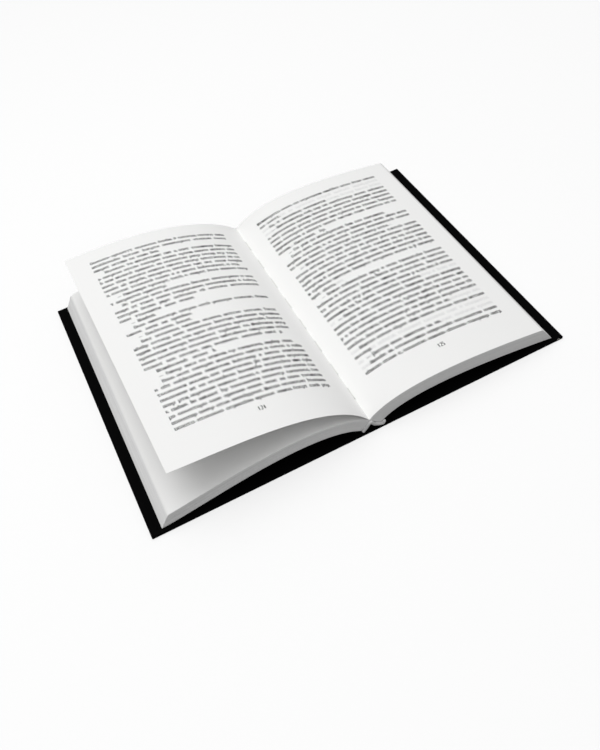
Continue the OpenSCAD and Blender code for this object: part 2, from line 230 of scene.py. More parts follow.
def smoothstep(low, high, x):
    """0 up to low, 1 past high, and a smooth rise between them."""
    t = np.clip((x - low) / (high - low), 0, 1)
    return t * t * (3 - 2 * t)


def runs(*stretches):
    """Shares from 0 to 1 in stretches: each is its end and its number of steps, and starts where the last ended."""
    ends = [0] + [end for end, _ in stretches]
    parts = [np.linspace(ends[i], end, n + 1)[1:] for i, (end, n) in enumerate(stretches)]
    return np.concatenate([[0.0], *parts])


def bezier(points, t):
    """Points of a cubic curve with four control points, at shares t."""
    p, t = np.asarray(points, float), np.asarray(t)[:, None]
    return (1 - t) ** 3 * p[0] + 3 * t * (1 - t) ** 2 * p[1] + 3 * t * t * (1 - t) * p[2] + t**3 * p[3]


def distances(line):
    """Distance from a line's start to each of its points."""
    return np.r_[0, np.cumsum(np.linalg.norm(np.diff(line, axis=0), axis=1))]


def at(line, where):
    """Points of a line at the distances where, which may be an array of any shape."""
    d = distances(line)
    return np.stack([np.interp(where, d, line[:, k]) for k in range(line.shape[1])], -1)


def left_of(line):
    """Unit vectors square to a line in X and Z, to its left."""
    slope = np.gradient(line, axis=0)
    slope /= np.linalg.norm(slope, axis=-1, keepdims=True)
    return np.stack([-slope[..., 1], slope[..., 0]], -1)


def smooth_line(points, n):
    """Smooth line through a few points: each span is a cubic whose ends lean along the chords beside them."""
    p = np.asarray(points, float)
    u = np.linspace(0, len(p) - 1, n + 1)
    i = np.minimum(u.astype(int), len(p) - 2)
    t = (u - i)[:, None]
    a, b, c, d = p[np.maximum(i - 1, 0)], p[i], p[i + 1], p[np.minimum(i + 2, len(p) - 1)]
    return (2 * b + (c - a) * t + (2 * a - 5 * b + 4 * c - d) * t**2 + (3 * b - a - 3 * c + d) * t**3) / 2


class Pages:
    """Curves of the open pages in X and Z, from the gutter or the spine out to the fore-edges."""

    def __init__(self, pages, leaf, case):
        self.half = pages.height / 2
        self.thick = {LEFT: pages.left_thick, RIGHT: pages.right_thick}
        self.rise = {LEFT: pages.left_rise, RIGHT: pages.right_rise}
        self.land = {LEFT: pages.left_land, RIGHT: pages.right_land}
        self.rise_k = {LEFT: pages.left_rise_k, RIGHT: pages.right_rise_k}
        self.land_k = {LEFT: pages.left_land_k, RIGHT: pages.right_land_k}
        gap = {LEFT: pages.left_gap, RIGHT: pages.right_gap}
        spine_z = node_high("spine_strip").z + case.cloth + pages.spine_lift
        rise = max(self.thick[s] * math.cos(self.rise[s]) for s in (LEFT, RIGHT))
        self.gutter = np.array([pages.gutter_x, spine_z + rise])
        self.foot, self.lowest, self.top, self.edge_top = {}, {}, {}, {}
        fine = np.linspace(0, 1, 401)
        for s in (LEFT, RIGHT):
            a, b, thick = self.rise[s], self.land[s], self.thick[s]
            foot = self.gutter - thick * np.array([-s * math.sin(a), math.cos(a)])
            rest_z = node_high(COVERS[s] + "_pastedown").z + gap[s] + pages.flyleaf
            end = np.array([s * (node_high("back_cover_cloth").x - pages.fore_square), rest_z])
            reach = abs(end[0] - foot[0])
            low = bezier([foot, foot + self.rise_k[s] * reach * np.array([s * math.cos(a), math.sin(a)]),
                          end + self.land_k[s] * reach * np.array([-s * math.cos(b), math.sin(b)]), end], fine)
            page = distances(low)[-1]
            top = at(low + s * thick * left_of(low), np.linspace(0, page, 401))
            down = top[-1] + pages.corner * (low[-1] - top[-1]) / np.linalg.norm(low[-1] - top[-1])
            start = at(top, page - pages.corner)
            bend = fine[::16, None]
            drooped = (1 - bend) ** 2 * start + 2 * bend * (1 - bend) * top[-1] + bend**2 * down
            self.foot[s], self.lowest[s], self.top[s] = foot, low, top
            self.edge_top[s] = np.concatenate([at(top, np.linspace(0, page - pages.corner, 400)), drooped[1:]])
        reach = self.gutter[0] - self.top[LEFT][-1][0]
        ends = [(leaf.in_tail, leaf.lift_tail, leaf.rise_tail, leaf.end_tail, leaf.rise_k_tail, leaf.end_k_tail),
                (leaf.in_head, leaf.lift_head, leaf.rise_head, leaf.end_head, leaf.rise_k_head, leaf.end_k_head)]
        self.leaf = [self.leaf_line(reach - inwards, *rest) for inwards, *rest in ends]

    def leaf_line(self, reach, lift, rise, end_angle, rise_k, end_k):
        """The lifted leaf's upper face at the tail or the head: a cubic from the gutter to the free edge."""
        end = np.array([self.gutter[0] - reach, lift])
        line = bezier([self.gutter, self.gutter + rise_k * reach * np.array([-math.cos(rise), math.sin(rise)]),
                       end + end_k * reach * np.array([math.cos(end_angle), math.sin(end_angle)]), end],
                      np.linspace(0, 1, 401))
        return at(line, np.linspace(0, distances(line)[-1], 401))


def book_pages(scene):
    """The page curves from the scene's own sizes."""
    return Pages(scene.book_pages, scene.book_leaf, scene.book_case)


def patch(points, uv=None, material=0, flip=False):
    """One patch of surface: a grid of points, the pattern's coordinates on it, its material and its facing."""
    return {"points": points, "uv": uv, "material": material, "flip": flip}


def quads_of(rows, columns, flip):
    """Corner numbers of the quads between a grid's rows and columns."""
    i = np.arange(rows * columns).reshape(rows, columns)
    quads = np.stack([i[:-1, :-1], i[1:, :-1], i[1:, 1:], i[:-1, 1:]], -1).reshape(-1, 4)
    return quads[:, ::-1] if flip else quads


def make_piece(name, patches, materials, crease=35):
    """One object from patches of surface whose shared edges are joined, smooth up to the crease angle."""
    points, quads, uvs, slots, start = [], [], [], [], 0
    for p in patches:
        rows, columns = p["points"].shape[:2]
        faces = quads_of(rows, columns, p["flip"])
        uv = np.zeros((rows * columns, 2)) if p["uv"] is None else p["uv"].reshape(-1, 2)
        points.append(p["points"].reshape(-1, 3))
        quads.append(faces + start)
        uvs.append(uv[faces])
        slots.append(np.full(len(faces), p["material"]))
        start += rows * columns
    return mesh_piece(name, np.concatenate(points), np.concatenate(quads), materials, np.concatenate(slots),
                      np.concatenate(uvs), crease)


def mesh_piece(name, points, quads, materials, slots=None, uvs=None, crease=35):
    """One object from arrays of points and quads, with doubled points joined."""
    mesh = bpy.data.meshes.new(name)
    mesh.vertices.add(len(points))
    mesh.vertices.foreach_set("co", np.asarray(points, np.float32).ravel())
    mesh.loops.add(quads.size)
    mesh.loops.foreach_set("vertex_index", quads.ravel().astype(np.int32))
    mesh.polygons.add(len(quads))
    mesh.polygons.foreach_set("loop_start", np.arange(0, quads.size, 4, dtype=np.int32))
    if slots is not None:
        mesh.polygons.foreach_set("material_index", slots.astype(np.int32))
    mesh.update(calc_edges=True)
    if uvs is not None:
        mesh.uv_layers.new(name="surface").data.foreach_set("uv", uvs.astype(np.float32).ravel())
    bm = bmesh.new()
    bm.from_mesh(mesh)
    bmesh.ops.remove_doubles(bm, verts=bm.verts, dist=0.4e-6)
    bmesh.ops.dissolve_degenerate(bm, edges=bm.edges, dist=0.2e-6)
    if all(edge.is_manifold for edge in bm.edges) and bm.calc_volume(signed=True) < 0:
        bmesh.ops.reverse_faces(bm, faces=bm.faces)
    bm.to_mesh(mesh)
    bm.free()
    mesh.polygons.foreach_set("use_smooth", np.ones(len(mesh.polygons), bool))
    mesh.set_sharp_from_angle(angle=math.radians(crease))
    for material in materials:
        mesh.materials.append(material)
    piece = bpy.data.objects.new(name, mesh)
    bpy.context.scene.collection.objects.link(piece)
    return piece


def solid_patches(place, u, t, v, face=0, cut=1):
    """The six faces of a solid whose points are place(u, t, v): u runs outwards, t up through it and v along Y.

    Pattern coordinates on a face are metres along it: outwards and up the page on its two broad faces, and along
    the cut and through the thickness on the cut faces.
    """
    def side(us, ts, vs, material, flip, axes):
        a, b, c = np.broadcast_arrays(us, ts, vs)
        points = place(a, b, c)
        steps = [np.linalg.norm(np.diff(points, axis=k), axis=-1).mean(1 - k) for k in (0, 1)]
        along = [np.r_[0, np.cumsum(step)] for step in steps]
        first, second = np.meshgrid(along[0], along[1], indexing="ij")
        return patch(points, np.stack([first, second][::axes], -1), material, flip)

    U, T, V = u[:, None], t[None, :], v[None, :]
    return [
        side(U, 1.0, V, face, False, 1),
        side(U, 0.0, V, face, True, 1),
        side(U, T, 0.0, cut, False, 1),
        side(U, T, 1.0, cut, True, 1),
        side(1.0, T, v[:, None], cut, False, 1),
        side(0.0, T, v[:, None], cut, True, 1),
    ]


def finish(piece, body, nodes=()):
    """Rides a piece on its body, and hides the imported nodes it stands for."""
    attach(piece, body)
    if nodes:
        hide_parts(*nodes)
    return piece


def node_group(name, inputs, outputs):
    """An empty shader group with named sockets. Returns the group, its nodes, its links and its two ends."""
    group = bpy.data.node_groups.new(name, "ShaderNodeTree")
    for label, kind, value in inputs:
        socket = group.interface.new_socket(label, in_out="INPUT", socket_type=kind)
        if value is not None:
            socket.default_value = value
    for label, kind in outputs:
        group.interface.new_socket(label, in_out="OUTPUT", socket_type=kind)
    nodes = group.nodes
    return group, nodes, group.links, nodes.new("NodeGroupInput"), nodes.new("NodeGroupOutput")


def math_node(nodes, links, operation, first, second=None, clamp=False):
    """A math node whose inputs are sockets or numbers. Returns its output."""
    node = nodes.new("ShaderNodeMath")
    node.operation = operation
    node.use_clamp = clamp
    for k, value in enumerate((first, second)):
        if isinstance(value, (int, float)):
            node.inputs[k].default_value = value
        elif value is not None:
            links.new(value, node.inputs[k])
    return node.outputs[0]


def noise(nodes, links, vector, scale, detail, dimensions="3D"):
    """A noise texture's value."""
    node = nodes.new("ShaderNodeTexNoise")
    node.noise_dimensions = dimensions
    node.inputs["Scale"].default_value = scale
    node.inputs["Detail"].default_value = detail
    links.new(vector, node.inputs["Vector"])
    return node.outputs[0]


def stretched(nodes, links, vector, scale):
    """A vector with each of its parts multiplied."""
    node = nodes.new("ShaderNodeMapping")
    node.inputs["Scale"].default_value = scale
    links.new(vector, node.inputs["Vector"])
    return node.outputs[0]


def shaded(nodes, links, tint, amount, low, high):
    """A colour made darker or lighter: it is multiplied by low at amount 0 and by high at amount 1."""
    level = math_node(nodes, links, "MULTIPLY_ADD", amount, high - low)
    level.node.inputs[2].default_value = low
    scale = nodes.new("ShaderNodeVectorMath")
    scale.operation = "SCALE"
    links.new(tint, scale.inputs[0])
    links.new(level, scale.inputs["Scale"])
    return scale.outputs[0]


VECTOR, COLOUR, VALUE = "NodeSocketVector", "NodeSocketColor", "NodeSocketFloat"


def paper_grain_group():
    """Fibres of paper: soft clouds over fine fibres, in a colour a few per cent lighter and darker."""
    group, nodes, links, start, end = node_group(
        "Paper grain", [("Vector", VECTOR, None), ("Colour", COLOUR, None)], [("Colour", COLOUR), ("Height", VALUE)])
    clouds = noise(nodes, links, start.outputs["Vector"], 90, 3)
    fibres = noise(nodes, links, start.outputs["Vector"], 2600, 4)
    mixed = math_node(nodes, links, "ADD", math_node(nodes, links, "MULTIPLY", clouds, 0.5),
                      math_node(nodes, links, "MULTIPLY", fibres, 0.5))
    links.new(shaded(nodes, links, start.outputs["Colour"], mixed, 0.975, 1.025), end.inputs["Colour"])
    links.new(fibres, end.inputs["Height"])
    return group


def cut_leaves_shade_and_sheen_group():
    """Trimmed edges of many leaves: long thin streaks along the first coordinate, one leaf and one section wide,
    darker and lighter: partly the leaves' uneven tone, partly painted shade in the gaps between leaves and painted
    sheen along them.
    """
    group, nodes, links, start, end = node_group(
        "Cut leaves", [("Vector", VECTOR, None), ("Colour", COLOUR, None)], [("Colour", COLOUR), ("Height", VALUE)])
    fine = noise(nodes, links, stretched(nodes, links, start.outputs["Vector"], (25, 9000, 1)), 1, 2, "2D")
    broad = noise(nodes, links, stretched(nodes, links, start.outputs["Vector"], (9, 1500, 1)), 1, 3, "2D")
    mixed = math_node(nodes, links, "ADD", math_node(nodes, links, "MULTIPLY", fine, 0.5),
                      math_node(nodes, links, "MULTIPLY", broad, 0.5))
    # The streaks' darker and lighter colour is painted shade between the leaves and painted sheen along them, over the
    # leaves' uneven tone.
    links.new(shaded(nodes, links, start.outputs["Colour"], mixed, 0.76, 1.2), end.inputs["Colour"])
    links.new(fine, end.inputs["Height"])
    return group


def weave_tone_and_dip_shade_group():
    """Plain weave: two sets of round threads at right angles, each passing over and under the other. Its colour
    follows the weave's height: partly the threads' uneven tone, partly painted shade, darker where the threads dip
    under.
    """
    group, nodes, links, start, end = node_group(
        "Plain weave",
        [("Vector", VECTOR, None), ("Colour", COLOUR, None), ("Threads", VALUE, 1000.0)],
        [("Colour", COLOUR), ("Height", VALUE)])
    split = nodes.new("ShaderNodeSeparateXYZ")
    links.new(start.outputs["Vector"], split.inputs[0])
    waves = []
    for part in ("X", "Y"):
        phase = math_node(nodes, links, "MULTIPLY", split.outputs[part], start.outputs["Threads"])
        waves.append(math_node(nodes, links, "SINE", math_node(nodes, links, "MULTIPLY", phase, math.pi)))
    over = math_node(nodes, links, "MULTIPLY", waves[0], waves[1])
    uneven = noise(nodes, links, start.outputs["Vector"], 900, 3)
    height = math_node(nodes, links, "MULTIPLY_ADD", over, 0.5)
    links.new(uneven, height.node.inputs[2])
    # Painted shade: the colour darkens with the weave's height where threads dip under, over the threads' uneven tone.
    links.new(shaded(nodes, links, start.outputs["Colour"], height, 0.75, 1.25), end.inputs["Colour"])
    links.new(height, end.inputs["Height"])
    return group


def grain_group():
    """Fibrous grain of board: one noise drawn out along X."""
    group, nodes, links, start, end = node_group(
        "Board grain", [("Vector", VECTOR, None), ("Colour", COLOUR, None)], [("Colour", COLOUR), ("Height", VALUE)])
    coarse = noise(nodes, links, stretched(nodes, links, start.outputs["Vector"], (400, 1500, 1500)), 1, 5)
    links.new(shaded(nodes, links, start.outputs["Colour"], coarse, 0.7, 1.3), end.inputs["Colour"])
    links.new(coarse, end.inputs["Height"])
    return group


def made_once(make):
    """A shader group that is built the first time and then used again."""
    name = make.__name__
    groups = bpy.context.scene.get("book_groups", {})
    if name not in groups:
        bpy.context.scene["book_groups"] = {**dict(groups), name: make().name}
    return bpy.data.node_groups[bpy.context.scene["book_groups"][name]]


def dressed(name, tint, group, roughness, specular, bump, depth, by_surface=False, **values):
    """A material whose colour and relief come from a shader group, on the object's or the surface's coordinates."""
    if name in bpy.data.materials:
        return bpy.data.materials[name]
    material = bpy.data.materials.new(name)
    material.use_nodes = True
    nodes, links = material.node_tree.nodes, material.node_tree.links
    shader = nodes["Principled BSDF"]
    shader.inputs["Roughness"].default_value = roughness
    shader.inputs["Specular IOR Level"].default_value = specular
    coordinates = nodes.new("ShaderNodeTexCoord").outputs["UV" if by_surface else "Object"]
    finish_node = nodes.new("ShaderNodeGroup")
    finish_node.node_tree = made_once(group)
    finish_node.inputs["Colour"].default_value = (*tint, 1)
    for label, value in values.items():
        finish_node.inputs[label].default_value = value
    links.new(coordinates, finish_node.inputs["Vector"])
    links.new(finish_node.outputs["Colour"], shader.inputs["Base Color"])
    relief = nodes.new("ShaderNodeBump")
    relief.inputs["Strength"].default_value = bump
    relief.inputs["Distance"].default_value = depth
    links.new(finish_node.outputs["Height"], relief.inputs["Height"])
    links.new(relief.outputs["Normal"], shader.inputs["Normal"])
    return material


def paper(colours):
    """Uncoated white page paper."""
    return dressed("page_paper", colours.paper, paper_grain_group, 0.82, 0.25, 0.12, 0.05 * MM)


def cut_edges(colours):
    """Trimmed edges of the pages, with a line for each leaf: its streaks hold painted shade between the leaves and
    painted sheen, and its colour is lighter than the paper's as painted light.
    """
    return dressed("cut_edges", colours.cut, cut_leaves_shade_and_sheen_group, 0.9, 0.2, 0.5, 0.08 * MM, by_surface=True)


def ink(colours):
    """Black printing ink soaked into paper; the same black paints the shade in the sewing's needle holes."""
    return dressed("printing_ink_and_hole_shade", colours.ink, paper_grain_group, 0.8, 0.15, 0.1, 0.05 * MM)


def faint_ink(colours):
    """Print of the other side of a leaf, seen faintly through it."""
    return dressed("show_through", colours.faint, paper_grain_group, 0.82, 0.25, 0.1, 0.05 * MM)


def worn_fleck_group():
    """A worn fleck: the second colour within a ragged ball round a place, and the first colour elsewhere."""
    group, nodes, links, start, end = node_group(
        "Worn fleck", [("Vector", VECTOR, None), ("Colour", COLOUR, None), ("Worn", COLOUR, None),
                       ("Place", VECTOR, None), ("Size", VECTOR, None)], [("Colour", COLOUR)])
    away, shares, reach = (nodes.new("ShaderNodeVectorMath") for _ in range(3))
    away.operation, shares.operation, reach.operation = "SUBTRACT", "DIVIDE", "LENGTH"
    links.new(start.outputs["Vector"], away.inputs[0])
    links.new(start.outputs["Place"], away.inputs[1])
    links.new(away.outputs[0], shares.inputs[0])
    links.new(start.outputs["Size"], shares.inputs[1])
    links.new(shares.outputs[0], reach.inputs[0])
    ragged = math_node(nodes, links, "ADD", reach.outputs["Value"],
                       noise(nodes, links, start.outputs["Vector"], 2500, 2))
    inside = math_node(nodes, links, "LESS_THAN", ragged, 1.5)
    mix = nodes.new("ShaderNodeMix")
    mix.data_type = "RGBA"
    links.new(inside, mix.inputs["Factor"])
    links.new(start.outputs["Colour"], mix.inputs["A"])
    links.new(start.outputs["Worn"], mix.inputs["B"])
    links.new(mix.outputs["Result"], end.inputs["Colour"])
    return group


def covering(colours, case):
    """Matt black bookcloth, worn through to the board at one fleck."""
    made = "black_covering" in bpy.data.materials
    material = dressed("black_covering", colours.cloth, weave_tone_and_dip_shade_group, 0.7, 0.03, 0.35, 0.06 * MM,
                       Threads=1 / case.weave)
    if made:
        return material
    nodes, links = material.node_tree.nodes, material.node_tree.links
    shader = nodes["Principled BSDF"]
    fleck = nodes.new("ShaderNodeGroup")
    fleck.node_tree = made_once(worn_fleck_group)
    fleck.inputs["Worn"].default_value = (*colours.board, 1)
    fleck.inputs["Place"].default_value = case.worn_place
    fleck.inputs["Size"].default_value = case.worn_size
    links.new(nodes["Texture Coordinate"].outputs["Object"], fleck.inputs["Vector"])
    links.new(shader.inputs["Base Color"].links[0].from_socket, fleck.inputs["Colour"])
    links.new(fleck.outputs["Colour"], shader.inputs["Base Color"])
    return material


def black_paper(colours):
    """Matt black endpaper."""
    return dressed("black_endpaper", colours.endpaper, paper_grain_group, 0.8, 0.03, 0.15, 0.05 * MM)


def raw_board(colours):
    """Grey fibrous binder's board."""
    return dressed("raw_board", colours.board, grain_group, 0.9, 0.2, 0.4, 0.1 * MM)


def band_cotton(colours):
    """Ribbed cotton of the bands."""
    return dressed("band_cotton", colours.band, weave_tone_and_dip_shade_group, 0.8, 0.25, 0.3, 0.05 * MM, by_surface=True,
                   Threads=4500.0)


def sewing_cotton(colours):
    """Waxed sewing thread."""
    return dressed("sewing_cotton", colours.thread, weave_tone_and_dip_shade_group, 0.6, 0.35, 0.2, 0.03 * MM, Threads=6000.0)


def gauze(colours):
    """Open gauze soaked in glue."""
    return dressed("glued_gauze", colours.gauze, weave_tone_and_dip_shade_group, 0.7, 0.3, 0.6, 0.1 * MM, Threads=1200.0)


def edge_relief(rng, across, along, pages, thick):
    """How far the trimmed leaves stand out of a cut face: single leaves, sections and a slow wander.

    across is the share of the thickness and along is the share of the length of the cut, as arrays of one shape.
    """
    levels = 64
    leaf_step = rng.normal(0, 1, levels + 1)
    section_step = np.interp(np.arange(levels + 1), np.arange(0, levels + 9, 8), rng.normal(0, 1, levels // 8 + 2))
    wander = rng.uniform(0, 2 * math.pi, levels + 1)
    level = np.clip(np.round(across * levels).astype(int), 0, levels)
    slow = np.sin(2 * math.pi * 1.3 * along + wander[level // 8])
    return pages.ridge * (0.8 * leaf_step[level] + 1.1 * section_step[level] + 0.5 * slow)


class BOOK_OT_page_stacks(bpy.types.Operator):
    """Pages left and right of the gutter, with their trimmed edges"""

    bl_idname = "book.page_stacks"
    bl_label = "Page stacks"

    def execute(self, context):
        scene = context.scene
        curves, pages = book_pages(scene), scene.book_pages
        # Steps along the page, through the thickness and from tail to head
        u = runs((0.12, 30), (0.94, 100), (1.0, 30))
        t = np.linspace(0, 1, 65)
        v = np.linspace(0, 1, 61)
        for s in (LEFT, RIGHT):
            low, top = curves.lowest[s], curves.edge_top[s]
            lengths = distances(low)[-1], distances(top)[-1]
            rng = np.random.default_rng(11 + s)
            seeds = rng.integers(0, 1000, 3)

            def place(a, b, c, low=low, top=top, lengths=lengths, seeds=seeds, s=s):
                """A point of the stack: between its lowest and its top page, with the cut faces' relief."""
                flat = at(low, a * lengths[0]) * (1 - b[..., None]) + at(top, a * lengths[1]) * b[..., None]
                ends = [edge_relief(np.random.default_rng(seed), b, along, pages, curves.thick[s])
                        for seed, along in zip(seeds, (a, a, c))]
                x = flat[..., 0] + s * ends[2] * (a == 1)
                y = (-curves.half - ends[0]) * (1 - c) + (curves.half + ends[1]) * c
                return np.stack([x, y, flat[..., 1]], -1)

            patches = solid_patches(place, u, t, v)
            stack = make_piece(NAMES[s] + "_pages", patches,
                               [paper(scene.book_colours), cut_edges(scene.book_colours)])
            finish(stack, "page_block", ["text_block"])
        return {"FINISHED"}


class BOOK_OT_lifted_leaf(bpy.types.Operator):
    """The leaf lifted off the left-hand pages"""

    bl_idname = "book.lifted_leaf"
    bl_label = "Lifted leaf"

    def execute(self, context):
        scene = context.scene
        curves, leaf = book_pages(scene), scene.book_leaf
        tail, head = curves.leaf
        under = [line - leaf.thick * (-left_of(line)) for line in curves.leaf]
        steps = [distances(line)[-1] for line in (tail, head)]

        def place(a, b, c):
            """A straight mix of the tail's curve and the head's, and of the upper face and the lower one."""
            upper = at(tail, a * steps[0]) * (1 - c[..., None]) + at(head, a * steps[1]) * c[..., None]
            lower = self.lower(under, (tail, head), a, c)
            flat = lower * (1 - b[..., None]) + upper * b[..., None]
            return np.stack([flat[..., 0], curves.half * (2 * c - 1), flat[..., 1]], -1)

        patches = solid_patches(place, runs((0.1, 24), (1.0, 150)), np.linspace(0, 1, 2), np.linspace(0, 1, 61))
        piece = make_piece("lifted_leaf", patches, [paper(scene.book_colours), cut_edges(scene.book_colours)])
        finish(piece, "page_block", ["text_block"])
        return {"FINISHED"}

    @staticmethod
    def lower(under, lines, a, c):
        """The leaf's lower face at the same shares of the upper lines."""
        grids = []
        for low, line in zip(under, lines):
            d = distances(line)
            where = a * d[-1]
            grids.append(np.stack([np.interp(where, d, low[:, k]) for k in (0, 1)], -1))
        return grids[0] * (1 - c[..., None]) + grids[1] * c[..., None]


class BOOK_OT_page_fold(bpy.types.Operator):
    """Folded paper under the gutter that joins both stacks"""

    bl_idname = "book.page_fold"
    bl_label = "Page fold"

    def execute(self, context):
        scene = context.scene
        curves, fold = book_pages(scene), scene.book_pages.fold
        upper = np.array([curves.foot[LEFT], curves.gutter, curves.foot[RIGHT]])
        towards = {s: (curves.foot[s] - curves.gutter) / np.linalg.norm(curves.foot[s] - curves.gutter)
                   for s in (LEFT, RIGHT)}
        left, right = curves.gutter + fold * towards[LEFT], curves.gutter + fold * towards[RIGHT]
        across = np.array([curves.foot[LEFT], left, (left + right) / 2 - [0, 0.1 * MM], right, curves.foot[RIGHT]])
        across = smooth_line(across, 40)
        above = smooth_line(upper, 40) + [0, -0.02 * MM]

        def place(a, b, c):
            """Between the V of the stacks' spines above and the rounded fold below."""
            above_at = np.stack([np.interp(a, np.linspace(0, 1, 41), above[:, k]) for k in (0, 1)], -1)
            below_at = np.stack([np.interp(a, np.linspace(0, 1, 41), across[:, k]) for k in (0, 1)], -1)
            flat = below_at * (1 - b[..., None]) + above_at * b[..., None]
            return np.stack([flat[..., 0], curves.half * (2 * c - 1), flat[..., 1]], -1)

        patches = solid_patches(place, np.linspace(0, 1, 41), np.linspace(0, 1, 2), np.linspace(0, 1, 13))
        piece = make_piece("page_fold", patches, [paper(scene.book_colours), cut_edges(scene.book_colours)])
        finish(piece, "page_block", ["text_block"])
        return {"FINISHED"}


# Strokes of the marks that stand for letters: from x, z to x, z in a box of 1 by 1, and the share of a full stem
MARKS = (
    ((0.12, 0, 0.12, 0.92, 1), (0.12, 0.92, 0.8, 1, 0.6), (0.84, 0.08, 0.84, 1, 1), (0.5, 0, 0.9, 0, 0.5)),
    ((0.14, 0.1, 0.14, 1, 1), (0.14, 0.05, 0.84, 0, 0.6), (0.84, 0, 0.84, 0.9, 1), (0, 1, 0.4, 1, 0.5)),
    ((0.16, 0.15, 0.16, 0.85, 1), (0.16, 0.92, 0.76, 1, 0.6), (0.84, 0.1, 0.84, 0.8, 1), (0.2, 0.02, 0.76, 0, 0.6)),
    ((0.14, 0, 0.14, 1, 1), (0.14, 0.52, 0.8, 0.6, 0.6), (0.84, 0.5, 0.84, 1, 1), (0.84, 0, 0.84, 0.3, 1)),
    ((0.14, 0, 0.14, 0.5, 1), (0.14, 0.55, 0.8, 0.45, 0.6), (0.84, 0, 0.84, 1, 1), (0, 1, 0.5, 0.9, 0.6)),
    ((0.1, 0, 0.5, 0.06, 0.6), (0.3, 0, 0.3, 1, 1), (0.3, 0.95, 0.88, 0.7, 0.6), (0.88, 0.1, 0.88, 0.7, 1)),
    ((0.12, 0.2, 0.12, 0.9, 1), (0.12, 0.12, 0.8, 0.02, 0.6), (0.3, 0.98, 0.86, 0.9, 0.8), (0.8, 0.3, 0.8, 0.6, 0.8)),
    ((0.1, 0, 0.1, 1, 0.9), (0.5, 0, 0.5, 0.85, 0.9), (0.9, 0, 0.9, 1, 0.9), (0.1, 0.04, 0.9, 0, 0.5)),
    ((0.46, 0, 0.46, 1, 1), (0.08, 0.75, 0.08, 1, 0.8), (0.08, 1, 0.9, 1, 0.6), (0.2, 0, 0.8, 0, 0.5)),
    ((0.16, 0.1, 0.16, 1, 1), (0.16, 1, 0.8, 0.95, 0.6), (0.16, 0.5, 0.7, 0.45, 0.6), (0.84, 0, 0.84, 0.42, 1)),
)
# Tall and hanging marks, a full stop, a comma and a dash
TALL = ((0.2, 0, 0.2, 1.45, 1), (0.2, 0.9, 0.8, 1, 0.6), (0.84, 0.1, 0.84, 0.9, 1), (0.1, 0, 0.6, 0, 0.5))
HANGING = ((0.2, -0.45, 0.2, 0.95, 1), (0.2, 0.06, 0.8, 0, 0.6), (0.84, 0.1, 0.84, 1, 1), (0, -0.45, 0.4, -0.45, 0.5))
STOP = ((0.1, 0.0, 0.1, 0.16, 1),)
COMMA = ((0.15, 0.16, 0.0, -0.25, 0.8),)
DASH = ((0.0, 0.42, 1.0, 0.42, 0.4),)
ALL_MARKS = (*MARKS, TALL, HANGING, STOP, COMMA, DASH)
TALL_MARK, HANGING_MARK, STOP_MARK, COMMA_MARK, DASH_MARK = range(len(MARKS), len(ALL_MARKS))
# Paragraphs of the left and the right page: number of lines, length of the last as a share of a full line, and
# whether it opens with a dash
LEFT_TEXT = ((3, 0.46, 0), (6, 0.95, 0), (2, 0.38, 1), (4, 0.5, 0), (1, 0.22, 1), (2, 0.43, 0), (1, 0.41, 1),
             (6, 0.92, 0), (1, 0.44, 0), (1, 0.95, 1), (9, 1.0, 0))
RIGHT_TEXT = ((2, 0.17, 0), (1, 0.53, 0), (6, 0.38, 1), (1, 0.84, 1), (3, 0.79, 0), (7, 0.19, 1), (5, 0.71, 1),
              (6, 0.76, 1), (2, 0.13, 0), (1, 0.6, 1), (2, 1.0, 0))
OTHER_TEXT = ((4, 0.7, 0), (5, 0.3, 0), (1, 0.5, 1), (3, 0.82, 1), (7, 0.25, 0), (1, 0.35, 1), (2, 0.6, 1),
              (5, 0.44, 0), (8, 1.0, 0))
# Strokes of plain figures, for the page numbers
FIGURES = {
    "1": ((0.5, 0, 0.5, 1.4, 1), (0.25, 1.15, 0.5, 1.4, 0.5)),
    "2": ((0.15, 1.4, 0.8, 1.4, 0.6), (0.8, 1.4, 0.8, 0.75, 1), (0.8, 0.75, 0.15, 0.05, 0.6), (0.1, 0, 0.9, 0, 0.8)),
    "4": ((0.65, 0, 0.65, 1.4, 1), (0.65, 1.4, 0.1, 0.45, 0.5), (0.1, 0.45, 0.9, 0.45, 0.6)),
    "5": ((0.2, 1.4, 0.8, 1.4, 0.7), (0.2, 1.4, 0.2, 0.8, 0.7), (0.2, 0.8, 0.8, 0.7, 0.6), (0.8, 0.7, 0.8, 0.1, 1),
          (0.8, 0.05, 0.15, 0.0, 0.6)),
}


def set_words(rng, layout, paragraphs):
    """Places of all marks on one page: words of random length fill each line, and its spaces stretch to fill it.

    Returns rows of place along the line, line number, width, height and mark number.
    """
    marks, line = [], 0
    for number, (lines, last, dash) in enumerate(paragraphs):
        for i in range(lines):
            start = layout.indent if i == 0 and number else 0.0
            full = layout.measure if i < lines - 1 else layout.measure * last
            marks += set_line(rng, layout, line, start, full, dash and i == 0, i == 0, i == lines - 1)
            line += 1
    return np.array(marks)


